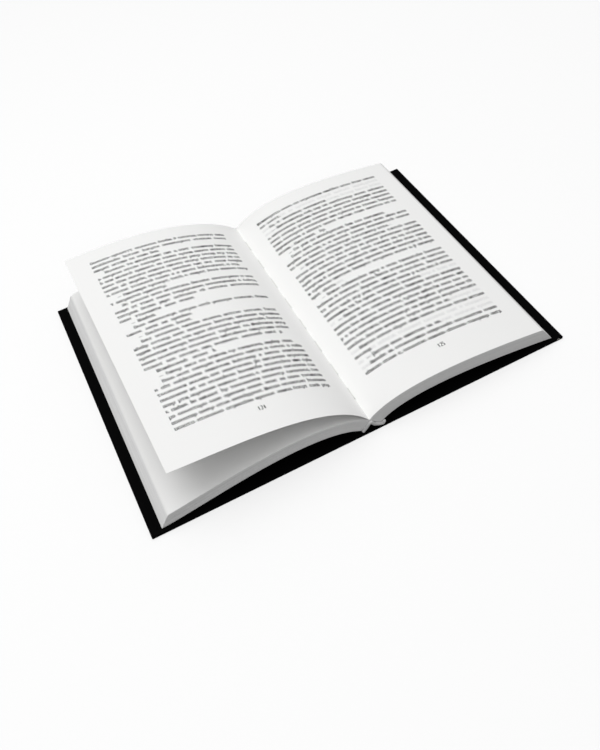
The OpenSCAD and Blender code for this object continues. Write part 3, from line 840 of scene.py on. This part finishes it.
def set_line(rng, layout, line, start, full, dash, opens, closes):
    """Places of the marks on one line, from start to full: words of random length, and even spaces that fill it."""
    words = [[1.2 * layout.mark]] if dash else []
    room = full - start

    def natural():
        return sum(sum(word) for word in words) + layout.space * max(0, len(words) - 1)

    while room - natural() > 3 * layout.mark:
        left = room - natural() - layout.space * bool(words)
        count = min(int(rng.choice(np.arange(1, 12), p=WORD_LENGTHS)), max(1, int(left / layout.mark)))
        words.append(list(layout.mark * rng.uniform(0.84, 1.14, count)))
    space = (room - sum(sum(word) for word in words)) / max(1, len(words) - 1)
    rows, x, capital = [], start, opens
    for k, word in enumerate(words):
        if dash and k == 0:
            rows.append((x, line, 0.9 * word[0], layout.x_height, DASH_MARK))
            x += word[0] + space
            continue
        for j, width in enumerate(word):
            draw = rng.random()
            form = TALL_MARK if draw < 0.05 else HANGING_MARK if draw < 0.1 else rng.integers(len(MARKS))
            size = 1.35 if capital and j == 0 else 1.0
            rows.append((x, line, 0.86 * width, size * layout.x_height, form))
            x += width
        point = rng.random()
        capital = point < 0.09 or (closes and k == len(words) - 1)
        if capital or point < 0.2:
            rows.append((x, line, 0.3 * layout.mark, layout.x_height, STOP_MARK if capital else COMMA_MARK))
        x += space
    return rows


# Shares of words with 1 to 11 marks
WORD_LENGTHS = np.array((7, 8, 8, 11, 14, 14, 12, 10, 8, 5, 3)) / 100


def stroke_quads(marks, forms, layout):
    """Corners of every stroke in page coordinates: along the line and up from its foot, as strokes x 4 x 2."""
    found, lines = [], []
    for number, strokes in enumerate(forms):
        chosen = marks[marks[:, 4] == number]
        if not len(chosen):
            continue
        s = np.array(strokes)
        size = chosen[:, None, [2, 3]]
        ends = [chosen[:, None, [0]] * [1, 0] + s[None, :, k:k + 2] * size for k in (0, 2)]
        along = ends[1] - ends[0]
        along = along / np.linalg.norm(along, axis=-1, keepdims=True)
        side = np.stack([-along[..., 1], along[..., 0]], -1) * (layout.stem / 2 * s[None, :, [4]])
        cap = along * (layout.stem / 4)
        quad = np.stack([ends[0] - cap - side, ends[1] + cap - side, ends[1] + cap + side, ends[0] - cap + side], 2)
        found.append(quad.reshape(-1, 4, 2))
        lines.append(np.repeat(chosen[:, 1], len(strokes)))
    return np.concatenate(found), np.concatenate(lines)


def raised(quads, place, high, deep):
    """Thin slabs on a curved page: quads is strokes x 4 x 2, and place gives a point from its page coordinates."""
    tops = place(quads[..., 0], quads[..., 1], high)
    feet = place(quads[..., 0], quads[..., 1], -deep)
    points = np.concatenate([tops, feet], 1).reshape(-1, 3)
    box = np.array([[0, 1, 2, 3], [7, 6, 5, 4], [0, 4, 5, 1], [1, 5, 6, 2], [2, 6, 7, 3], [3, 7, 4, 0]])
    faces = (np.arange(len(quads))[:, None, None] * 8 + box).reshape(-1, 4)
    return points, faces


def page_place(lines, half, forwards, under=0.0):
    """A function from place along the line of type, height up the page and height above it to a point in space.

    lines are the page's curves at the tail and the head, from the gutter. Type runs towards the gutter unless
    forwards, and under is the thickness of the leaf where the type is on its lower face.
    """
    steps = [distances(line)[-1] for line in lines]
    squares = [left_of(line) for line in lines]
    for k, line in enumerate(lines):
        if squares[k][:, 1].mean() < 0:
            squares[k] = -squares[k]

    def place(along, up, above):
        c = (up + half) / (2 * half)
        length_here = steps[0] * (1 - c) + steps[1] * c
        a = along / length_here if forwards else 1 - along / length_here
        mixed = []
        for table in (lines, squares):
            ends = [np.stack([np.interp(a, distances(line) / step, values[:, k]) for k in (0, 1)], -1)
                    for line, values, step in zip(lines, table, steps)]
            mixed.append(ends[0] * (1 - c[..., None]) + ends[1] * c[..., None])
        height = -(under + above) if under else above
        flat = mixed[0] + height * mixed[1]
        return np.stack([flat[..., 0], up, flat[..., 1]], -1)

    return place


def print_page(name, scene, lines, paragraphs, seed, forwards, number=None, under=0.0, material=None, high=0.03 * MM,
               margin=None):
    """One page's print as thin slabs of ink on its surface."""
    layout, half = scene.book_print, scene.book_pages.height / 2
    rng = np.random.default_rng(layout.seed + seed)
    quads, line = stroke_quads(set_words(rng, layout, paragraphs), ALL_MARKS, layout)
    start = margin if margin is not None else layout.inner_margin if forwards else layout.outer_margin
    quads = quads + np.stack([np.full(len(quads), start), half - layout.first_line - line * layout.pitch], -1)[:, None]
    if number:
        figures = np.array([((k - 1.5) * 0.85 * layout.mark, 0, 0.7 * layout.mark, layout.x_height, k)
                            for k in range(len(number))])
        folio, _ = stroke_quads(figures, [FIGURES[figure] for figure in number], layout)
        middle = start + layout.measure / 2
        quads = np.concatenate([quads, folio + np.array([middle, half - layout.folio])])
    place = page_place(lines, half, forwards, under)
    points, faces = raised(quads, place, high, 0.02 * MM)
    if forwards == bool(under):
        faces = faces[:, ::-1]
    piece = mesh_piece(name, points, faces, [material or ink(scene.book_colours)], crease=30)
    return finish(piece, "page_block")


class BOOK_OT_printed_lines(bpy.types.Operator):
    """Lines of print on the open pages, and what shows faintly through the right-hand page"""

    bl_idname = "book.printed_lines"
    bl_label = "Printed lines"

    def execute(self, context):
        scene = context.scene
        curves, layout = book_pages(scene), scene.book_print
        left, right = [curves.top[LEFT]] * 2, [curves.top[RIGHT]] * 2
        print_page("print_on_lifted_leaf", scene, curves.leaf, LEFT_TEXT, 0, False, "124")
        print_page("print_under_lifted_leaf", scene, curves.leaf, OTHER_TEXT, 1, True, under=scene.book_leaf.thick)
        print_page("print_on_left_page", scene, left, OTHER_TEXT, 2, False)
        print_page("print_on_right_page", scene, right, RIGHT_TEXT, 3, True, "125")
        print_page("print_through_right_page", scene, right, OTHER_TEXT, 4, True,
                   material=faint_ink(scene.book_colours), high=0.008 * MM, margin=layout.inner_margin)
        return {"FINISHED"}


class BOOK_OT_bands(bpy.types.Operator):
    """Rolled bands at the head and the tail of the spine"""

    bl_idname = "book.bands"
    bl_label = "Head and tail bands"

    def execute(self, context):
        scene = context.scene
        curves, fold = book_pages(scene), scene.book_pages.fold
        sizes = scene.book_binding
        radius, hook, turned = sizes.bead, sizes.hook, sizes.hook_angle
        rise = curves.rise[RIGHT]
        apex = curves.gutter - [0, fold + 0.05 * MM]
        foot = curves.foot
        low = (apex * (1 - sizes.sag_at) + foot[RIGHT] * sizes.sag_at
               - sizes.sag * np.array([math.sin(rise), math.cos(rise)]))
        bend = foot[RIGHT] + hook / 2 * np.array([math.cos(turned / 2), math.sin(turned / 2)])
        tip = foot[RIGHT] + hook * np.array([math.cos(turned), math.sin(turned)])
        line = smooth_line([foot[LEFT], (foot[LEFT] + apex) / 2, apex, low, foot[RIGHT], bend, tip], 240)
        for end, name in ((1, "headband"), (-1, "tailband")):
            bead_y = end * (curves.half + radius)
            patches = self.bead(line, bead_y, radius, sizes.rib)
            piece = make_piece(name + "_bead", patches, [band_cotton(scene.book_colours)], crease=50)
            finish(piece, "page_block", [name])
            tape = self.tape(curves, fold, end, sizes)
            tape_piece = make_piece(name + "_tape", tape, [band_cotton(scene.book_colours)] * 2)
            finish(tape_piece, "page_block", [name])
        return {"FINISHED"}

    @staticmethod
    def bead(line, bead_y, radius, rib):
        """A round bar along a line in X and Z: its radius rises and falls along slanting ribs, and its ends are
        domed."""
        d = distances(line)
        turn = np.linspace(0, 2 * math.pi, 19)
        rows = np.linspace(0, d[-1], 261)
        middle = at(line, rows)
        square = left_of(middle)
        shape = np.sqrt(np.clip(1 - (1 - np.minimum(rows, d[-1] - rows) / radius).clip(0) ** 2, 1e-6, 1))
        ribs = 0.95 + 0.05 * np.cos(2 * math.pi * rows[:, None] / rib + turn[None, :])
        size = radius * shape[:, None] * ribs
        points = np.stack([
            middle[:, None, 0] + size * np.sin(turn) * square[:, None, 0],
            bead_y + size * np.cos(turn) + 0 * square[:, None, 0],
            middle[:, None, 1] + size * np.sin(turn) * square[:, None, 1]], -1)
        uv = np.stack(np.broadcast_arrays(rows[:, None], turn[None, :] * radius), -1)
        caps = []
        for k, flip in ((0, True), (-1, False)):
            centre = np.array([middle[k, 0], bead_y, middle[k, 1]])
            caps.append(patch(np.stack([points[k], np.broadcast_to(centre, points[k].shape)]), flip=flip))
        return [patch(points, uv), *caps]

    @staticmethod
    def tape(curves, fold, end, sizes):
        """The band's tape, glued over the V of the spine."""
        towards = {s: (curves.foot[s] - curves.gutter) / np.linalg.norm(curves.foot[s] - curves.gutter)
                   for s in (LEFT, RIGHT)}
        spine = np.array([curves.foot[LEFT] - sizes.bare * towards[LEFT], curves.gutter + fold * towards[LEFT],
                          curves.gutter + fold * towards[RIGHT], curves.foot[RIGHT] - sizes.bare * towards[RIGHT]])
        spine = at(spine, np.linspace(0, distances(spine)[-1], 41))
        outer = spine - sizes.tape_thick * left_of(spine)

        def place(a, b, c):
            """Between the spine's line and a line below it, from inside the block to the bead."""
            i = np.linspace(0, 1, 41)
            inner_at = np.stack([np.interp(a, i, spine[:, k]) for k in (0, 1)], -1)
            outer_at = np.stack([np.interp(a, i, outer[:, k]) for k in (0, 1)], -1)
            flat = outer_at * (1 - b[..., None]) + inner_at * b[..., None]
            y = end * (curves.half + sizes.bead / 2 - (sizes.tape + sizes.bead / 2) * c)
            return np.stack([flat[..., 0], y, flat[..., 1]], -1)

        return solid_patches(place, np.linspace(0, 1, 41), np.linspace(0, 1, 2), np.linspace(0, 1, 9))


class BOOK_OT_sewing(bpy.types.Operator):
    """Stitches of twisted thread in the centre fold, with black balls of painted shade at the needle holes"""

    bl_idname = "book.sewing"
    bl_label = "Sewing thread"

    def execute(self, context):
        scene = context.scene
        low, high = node_low("sewing_thread"), node_high("sewing_thread")
        radius, sizes = (high.x - low.x) / 2, scene.book_binding
        middle_x, middle_z = (low.x + high.x) / 2, (low.z + high.z) / 2
        pitch = scene.book_pages.height / (sizes.stitches + 1)
        turn = np.linspace(0, 2 * math.pi, 13)
        along = np.linspace(0, 1, 61)
        patches = []
        for i in range(1, sizes.stitches + 1):
            middle_y = i * pitch - scene.book_pages.height / 2
            y = middle_y + (along - 0.5) * sizes.stitch
            end = np.clip(np.minimum(along, 1 - along) * sizes.stitch / radius, 0.02, 1) ** 0.5
            plies = 1 + 0.14 * np.cos(2 * (turn[None, :] - along[:, None] * 50))
            size = radius * 0.9 * end[:, None] * plies
            z = middle_z - 0.12 * MM * np.sin(math.pi * along)
            points = np.stack([middle_x + size * np.cos(turn), np.broadcast_to(y[:, None], size.shape),
                               z[:, None] + size * np.sin(turn)], -1)
            patches.append(patch(points))
            for k, flip in ((0, True), (-1, False)):
                centre = points[k].mean(0)
                patches.append(patch(np.stack([points[k], np.broadcast_to(centre, points[k].shape)]), flip=flip))
            # Each stitch ends in two needle holes, drawn as small balls in the ink's black: painted shade of the
            # holes.
            for end_y in (-0.5, 0.5):
                patches.append(self.hole(middle_x, middle_y + end_y * sizes.stitch, middle_z, sizes.hole))
        piece = make_piece("stitches", patches, [sewing_cotton(scene.book_colours), ink(scene.book_colours)],
                           crease=60)
        finish(piece, "page_block", ["sewing_thread"])
        return {"FINISHED"}

    @staticmethod
    def hole(x, y, z, radius):
        """A needle hole in the fold, as a small ball whose black is painted shade of the hole: rings from pole to
        pole.
        """
        down, round_ = np.linspace(0, math.pi, 7)[:, None], np.linspace(0, 2 * math.pi, 13)[None, :]
        ball = np.stack(np.broadcast_arrays(x + radius * np.sin(down) * np.cos(round_),
                                            y + radius * np.sin(down) * np.sin(round_),
                                            z + radius * np.cos(down)), -1)
        return patch(ball, material=1)


class BOOK_OT_flyleaves(bpy.types.Operator):
    """Black free endpapers under the pages"""

    bl_idname = "book.flyleaves"
    bl_label = "Flyleaves"

    def execute(self, context):
        scene = context.scene
        curves, thick = book_pages(scene), scene.book_pages.flyleaf
        for s in (LEFT, RIGHT):
            line = curves.lowest[s]
            up = s * left_of(line)
            step = distances(line)[-1]
            share_of = distances(line) / step

            def place(a, b, c, line=line, up=up, share_of=share_of):
                """Below the lowest page, from the foot to the fore-edge."""
                depth = -0.01 * MM - thick * (1 - b)
                base = np.stack([np.interp(a, share_of, line[:, k]) for k in (0, 1)], -1)
                square = np.stack([np.interp(a, share_of, up[:, k]) for k in (0, 1)], -1)
                flat = base + depth[..., None] * square
                return np.stack([flat[..., 0], curves.half * (2 * c - 1), flat[..., 1]], -1)

            patches = solid_patches(place, np.linspace(0, 1, 121), np.linspace(0, 1, 2), np.linspace(0, 1, 13))
            piece = make_piece(NAMES[s] + "_flyleaf", patches, [black_paper(scene.book_colours)] * 2)
            finish(piece, "page_block", [COVERS[s] + "_flyleaf"])
        return {"FINISHED"}


class Case:
    """Lines of the covering in X and Z across one half of the case, from the middle of the spine outwards."""

    def __init__(self, case):
        self.cloth = case.cloth
        self.strip_x, self.strip_z = node_high("spine_strip").x, node_high("spine_strip").z
        self.board_x = node_low("back_board").x
        self.board_z = node_high("back_board").z
        self.hinge_x = (self.strip_x + self.board_x) / 2
        self.outer_x, self.outer_y = node_high("back_cover_cloth").x, node_high("back_cover_cloth").y
        self.groove, self.depth, self.fade = case.groove, case.groove_depth, case.fade

    def under(self, x, y=0.0):
        """Underside of the covering: flat, with one round-topped groove pressed in at the joint, which fades out
        at head and tail."""
        near = np.abs(x - self.hinge_x) < self.groove / 2
        depth = self.depth * (1 - 0.9 * smoothstep(self.outer_y - self.fade, self.outer_y - 1 * MM, np.abs(y)))
        return np.where(near, depth * np.cos(math.pi * (x - self.hinge_x) / self.groove) ** 2, 0)

    def over(self, x, y=0.0):
        """Upper side of the turned-in covering: on the spine strip, down into the joint, up on the board."""
        strip = 1 - smoothstep(self.strip_x - 0.1 * MM, self.strip_x + 1.4 * MM, x)
        board = smoothstep(self.board_x - 1.3 * MM, self.board_x + 0.2 * MM, x)
        joint = self.under(x, y) + 2 * self.cloth
        return (joint * (1 - strip - board) + (self.strip_z + self.cloth) * strip
                + (self.board_z + self.cloth) * board)


def wrapped_edge(case, high):
    """Section of the covering over an edge: inset from the edge and height, outside and inside of the sheet.

    It runs from the underside, round the edge and back over the top to the end of the turn-in.
    """
    r, c = case.edge, case.cloth
    arc = np.linspace(0, math.pi / 2, 7)
    rows = []
    for depth in (0.0, c):
        radius = r - depth
        first = np.stack([r - radius * np.sin(arc), r - radius * np.cos(arc)], -1)
        second = np.stack([r - radius * np.cos(arc), high - r + radius * np.sin(arc)], -1)
        start = np.array([[4 * r, depth], [2 * r, depth]])
        end = np.array([[share_of * case.turn_in, high - depth] for share_of in (0.15, 0.3, 0.5, 0.75, 1)])
        rows.append(np.concatenate([start, first, second, end]))
    return rows


class BOOK_OT_covering(bpy.types.Operator):
    """Black covering of both covers and the spine, wrapped over the boards' edges"""

    bl_idname = "book.covering"
    bl_label = "Covering"

    def execute(self, context):
        scene = context.scene
        case, lines = scene.book_case, Case(scene.book_case)
        material = [covering(scene.book_colours, case)]
        sections = wrapped_edge(case, lines.board_z + lines.cloth)
        for s in (LEFT, RIGHT):
            patches = self.cover(case, lines, sections, s)
            piece = make_piece(COVERS[s] + "_covering", patches, material, crease=40)
            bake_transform(piece)
            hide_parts(COVERS[s] + "_cover_cloth")
        spine = make_piece("spine_covering", self.spine(lines, sections), material, crease=40)
        finish(spine, "page_block", ["spine_cloth"])
        return {"FINISHED"}

    @staticmethod
    def squeezed(lines, x, y, z, high):
        """Height of a section's point where the sheet's two layers are nearer or further apart than on a board."""
        under, over = lines.under(x, y), lines.over(x, y)
        half = (over - under) / 2
        return np.where(z < high / 2, under + np.minimum(z, half), over - np.minimum(high - z, half))

    def cover(self, case, lines, sections, s):
        """The section carried round three edges of a cover, and the flat underside between them."""
        high = lines.board_z + lines.cloth
        across = runs((0.1, 44), (1.0, 40))
        down = np.linspace(0, 1, 61)
        arc = np.linspace(math.pi / 2, 0, 9)[1:-1]
        strips, floors = [], []
        for section in sections:
            inset, z = section[:, [0]], section[:, [1]]
            straight_x = lines.outer_x - np.maximum(case.corner, inset)
            straight_y = lines.outer_y - np.maximum(case.corner, inset)
            out = np.maximum(case.corner - inset, 0)
            back = np.minimum(case.corner - inset, 0)
            corner_x = lines.outer_x - case.corner + out * np.cos(arc) + back
            corner_y = lines.outer_y - case.corner + out * np.sin(arc) + back
            head_x = lines.strip_x + across * (straight_x - lines.strip_x)
            edge_y = lines.outer_y - inset
            fore_y = straight_y * (1 - 2 * down)
            x = np.concatenate([head_x, corner_x, lines.outer_x - inset + 0 * fore_y, corner_x[:, ::-1],
                                head_x[:, ::-1]], 1)
            y = np.concatenate([edge_y + 0 * head_x, corner_y, fore_y, -corner_y[:, ::-1], -edge_y + 0 * head_x], 1)
            strips.append(np.stack([s * x, y, self.squeezed(lines, x, y, z + 0 * x, high)], -1))
            floor_x = head_x[0][:, None] + 0 * down
            floor_y = straight_y[0] * (1 - 2 * down) + 0 * floor_x
            floor_z = lines.under(floor_x, floor_y) + section[0, 1]
            floors.append(np.stack([s * floor_x, floor_y, floor_z], -1))
        outer, inner = strips
        mirrored = s == LEFT
        ends = [np.stack([outer[:, k], inner[:, k]], 1) for k in (0, -1)]
        floor_end = np.stack([floors[0][0], floors[1][0]], 1)
        return [
            patch(outer, flip=mirrored),
            patch(inner, flip=not mirrored),
            patch(np.stack([outer[-1], inner[-1]]), flip=mirrored),
            patch(ends[0], flip=not mirrored),
            patch(ends[1], flip=mirrored),
            patch(floors[0], flip=mirrored),
            patch(floors[1], flip=not mirrored),
            patch(floor_end, flip=mirrored),
        ]

    def spine(self, lines, sections):
        """The section at head and tail, joined across the underside, carried from joint to joint."""
        high = lines.board_z + lines.cloth
        across = np.linspace(-lines.strip_x, lines.strip_x, 25)
        grids = []
        for section in sections:
            y = np.concatenate([lines.outer_y - section[::-1, 0], section[:, 0] - lines.outer_y])
            z = np.concatenate([section[::-1, 1], section[:, 1]])
            heights = self.squeezed(lines, np.abs(across)[:, None], y[None, :], z[None, :], high)
            grids.append(np.stack([across[:, None] + 0 * heights, y[None, :] + 0 * heights, heights], -1))
        outer, inner = grids
        return [
            patch(outer),
            patch(inner, flip=True),
            patch(np.stack([outer[0], inner[0]])),
            patch(np.stack([outer[-1], inner[-1]]), flip=True),
            patch(np.stack([outer[:, 0], inner[:, 0]]), flip=True),
            patch(np.stack([outer[:, -1], inner[:, -1]])),
        ]


class BOOK_OT_endpapers(bpy.types.Operator):
    """Black endpapers on the insides of the boards, reaching over the joints to the pages"""

    bl_idname = "book.endpapers"
    bl_label = "Endpapers"

    def execute(self, context):
        scene = context.scene
        case, lines, curves = scene.book_case, Case(scene.book_case), book_pages(scene)
        for s in (LEFT, RIGHT):
            piece = make_piece(COVERS[s] + "_endpaper", self.sheet(case, lines, curves, s),
                               [black_paper(scene.book_colours)] * 2, crease=50)
            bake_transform(piece)
            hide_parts(COVERS[s] + "_pastedown")
        return {"FINISHED"}

    @staticmethod
    def sheet(case, lines, curves, s):
        """From the foot of the pages down to the joint, over it and up on the board, where it steps over the
        turned-in covering near the cover's edges."""
        foot = curves.foot[s] * [s, 1]
        rest_z = lines.over(np.array(lines.hinge_x)) + 0.25 * MM
        gap = 0.05 * MM
        board_top = lines.board_z + gap / 5
        x_end, y_end = lines.outer_x - case.margin, lines.outer_y - case.margin
        turned_x, turned_y = lines.outer_x - case.turn_in, lines.outer_y - case.turn_in
        inner = smooth_line([foot - [0, 0.25 * MM], foot + [0.9 * MM, -1.0 * MM],
                             [max(foot[0] + 2.2 * MM, 9 * MM), rest_z], [lines.hinge_x, rest_z - 0.15 * MM],
                             [lines.board_x - 1.2 * MM, rest_z], [lines.board_x + 0.4 * MM, board_top]], 60)
        outer_x = lines.board_x + 0.4 * MM + (x_end - lines.board_x - 0.4 * MM) * runs((0.85, 30), (0.95, 30), (1, 4))
        outer = np.stack([outer_x, np.full(len(outer_x), board_top)], -1)
        line = np.concatenate([inner, outer[1:]])
        share_of = np.linspace(0, 1, len(line))
        up = left_of(line)

        def place(a, b, c):
            """The line carried along Y, raised by the covering's thickness where that is turned in."""
            base = np.stack([np.interp(a, share_of, line[:, k]) for k in (0, 1)], -1)
            square = np.stack([np.interp(a, share_of, up[:, k]) for k in (0, 1)], -1)
            flat = base + (case.pastedown * b)[..., None] * square
            y = y_end * (2 * c - 1)
            step = 0.7 * MM
            over_board = smoothstep(lines.board_x - 1.5 * MM, lines.board_x + 0.5 * MM, base[..., 0])
            turned = np.maximum(smoothstep(turned_x - step, turned_x, base[..., 0]),
                                smoothstep(turned_y - step, turned_y, np.abs(y)) * over_board)
            return np.stack([s * flat[..., 0], y, flat[..., 1] + lines.cloth * turned], -1)

        edge = runs((0.055, 8), (0.062, 8), (0.938, 30), (0.945, 8), (1, 8))
        return solid_patches(place, share_of, np.linspace(0, 1, 2), edge)


class BOOK_OT_inner_parts(bpy.types.Operator):
    """Finishes of the boards, the spine strip and the spine lining"""

    bl_idname = "book.inner_parts"
    bl_label = "Boards and lining"

    def execute(self, context):
        colours = context.scene.book_colours
        finishes = {"front_board": raw_board, "back_board": raw_board, "spine_strip": raw_board,
                    "spine_lining": gauze}
        for node, make in finishes.items():
            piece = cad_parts[node]
            piece.data.materials.clear()
            piece.data.materials.append(make(colours))
        return {"FINISHED"}


class BOOK_OT_stage(bpy.types.Operator):
    """Pale floor, a soft lamp, the sky and the camera"""

    bl_idname = "book.stage"
    bl_label = "Stage"

    def execute(self, context):
        scene = context.scene
        stage = scene.book_stage
        self.camera(scene, stage)
        self.floor(stage)
        self.lamp("key_lamp", stage.key, (-0.22, 0.12, 0.92), 0.75)
        self.sky(scene, stage)
        scene.view_settings.view_transform = "Standard"
        return {"FINISHED"}

    @staticmethod
    def camera(scene, stage):
        """The camera looks below the horizon, turned right of the head and rolled about its line of sight."""
        data = bpy.data.cameras.new("camera")
        data.lens = stage.lens
        data.sensor_width = 36
        data.clip_start, data.clip_end = 0.01, 20
        camera = bpy.data.objects.new("camera", data)
        turn = (Matrix.Rotation(-stage.heading, 4, "Z") @ Matrix.Rotation(math.pi / 2 - stage.tilt, 4, "X")
                @ Matrix.Rotation(stage.roll, 4, "Z"))
        camera.matrix_world = Matrix.Translation(stage.camera) @ turn
        scene.collection.objects.link(camera)
        scene.camera = camera

    @staticmethod
    def lamp(name, power, place, width):
        """A square lamp that faces the middle of the floor."""
        data = bpy.data.lights.new(name, "AREA")
        data.energy = power
        data.size = width
        lamp = bpy.data.objects.new(name, data)
        lamp.location = place
        lamp.rotation_mode = "QUATERNION"
        lamp.rotation_quaternion = lamp.location.to_track_quat("Z", "Y")
        bpy.context.scene.collection.objects.link(lamp)

    @staticmethod
    def floor(stage):
        """A pale floor that keeps a soft shadow: to the camera it is part clear and part white, and its bounce
        light on the object is grey."""
        half = stage.floor / 2
        corners = np.array([[[-half, -half, 0], [-half, half, 0]], [[half, -half, 0], [half, half, 0]]], float)
        floor = make_piece("floor", [patch(corners)], [])
        material = bpy.data.materials.new("pale_floor")
        material.use_nodes = True
        nodes, links = material.node_tree.nodes, material.node_tree.links
        nodes.clear()
        seen, bounced, clear = (nodes.new(kind) for kind in
                                ("ShaderNodeBsdfDiffuse", "ShaderNodeBsdfDiffuse", "ShaderNodeBsdfTransparent"))
        seen.inputs["Color"].default_value = (1, 1, 1, 1)
        bounced.inputs["Color"].default_value = (0.3, 0.3, 0.3, 1)
        path = nodes.new("ShaderNodeLightPath")
        pale, whole = nodes.new("ShaderNodeMixShader"), nodes.new("ShaderNodeMixShader")
        pale.inputs[0].default_value = 0.28
        links.new(clear.outputs[0], pale.inputs[1])
        links.new(seen.outputs[0], pale.inputs[2])
        links.new(path.outputs["Is Camera Ray"], whole.inputs[0])
        links.new(bounced.outputs[0], whole.inputs[1])
        links.new(pale.outputs[0], whole.inputs[2])
        out = nodes.new("ShaderNodeOutputMaterial")
        links.new(whole.outputs[0], out.inputs["Surface"])
        floor.data.materials.append(material)

    @staticmethod
    def sky(scene, stage):
        """White to the camera, and on everything else a light that falls off from overhead to the horizon."""
        world = bpy.data.worlds.new("sky")
        scene.world = world
        world.use_nodes = True
        nodes, links = world.node_tree.nodes, world.node_tree.links
        nodes.clear()
        grey, white = nodes.new("ShaderNodeBackground"), nodes.new("ShaderNodeBackground")
        grey.inputs["Color"].default_value = (1, 1, 1, 1)
        direction, split = nodes.new("ShaderNodeTexCoord"), nodes.new("ShaderNodeSeparateXYZ")
        links.new(direction.outputs["Generated"], split.inputs[0])
        above = math_node(nodes, links, "MAXIMUM", split.outputs["Z"], 0.0)
        links.new(math_node(nodes, links, "MULTIPLY", above, stage.sky), grey.inputs["Strength"])
        white.inputs["Color"].default_value = (1, 1, 1, 1)
        white.inputs["Strength"].default_value = 1.0
        path, mix = nodes.new("ShaderNodeLightPath"), nodes.new("ShaderNodeMixShader")
        either = math_node(nodes, links, "MAXIMUM", path.outputs["Is Camera Ray"],
                           path.outputs["Is Transmission Ray"])
        links.new(either, mix.inputs[0])
        links.new(grey.outputs[0], mix.inputs[1])
        links.new(white.outputs[0], mix.inputs[2])
        out = nodes.new("ShaderNodeOutputWorld")
        links.new(mix.outputs[0], out.inputs["Surface"])


class BOOK_PT_panel(bpy.types.Panel):
    """The book's pieces, in the order in which they are made"""

    bl_label = "Open book"
    bl_idname = "BOOK_PT_panel"
    bl_space_type = "VIEW_3D"
    bl_region_type = "UI"
    bl_category = "Book"

    def draw(self, context):
        for operator in OPERATORS:
            self.layout.operator(operator.bl_idname)


GROUPS = {"book_pages": BookPages, "book_leaf": BookLeaf, "book_case": BookCase,
          "book_binding": BookBinding, "book_print": BookPrint,
          "book_colours": BookColours, "book_stage": BookStage}
OPERATORS = (BOOK_OT_page_stacks, BOOK_OT_lifted_leaf, BOOK_OT_page_fold, BOOK_OT_printed_lines, BOOK_OT_bands,
             BOOK_OT_sewing, BOOK_OT_flyleaves, BOOK_OT_covering, BOOK_OT_endpapers, BOOK_OT_inner_parts,
             BOOK_OT_stage)


def register():
    """Registers the sizes, the operators and the panel."""
    for name, group in GROUPS.items():
        bpy.utils.register_class(group)
        setattr(bpy.types.Scene, name, PointerProperty(type=group))
    for operator in (*OPERATORS, BOOK_PT_panel):
        bpy.utils.register_class(operator)


def unregister():
    """Takes the panel, the operators and the sizes away again."""
    for operator in reversed((*OPERATORS, BOOK_PT_panel)):
        bpy.utils.unregister_class(operator)
    for name, group in reversed(GROUPS.items()):
        delattr(bpy.types.Scene, name)
        bpy.utils.unregister_class(group)


def main():
    """Makes every piece and the stage."""
    register()
    for operator in OPERATORS:
        category, name = operator.bl_idname.split(".")
        getattr(getattr(bpy.ops, category), name)()


if __name__ == "__main__":
    main()
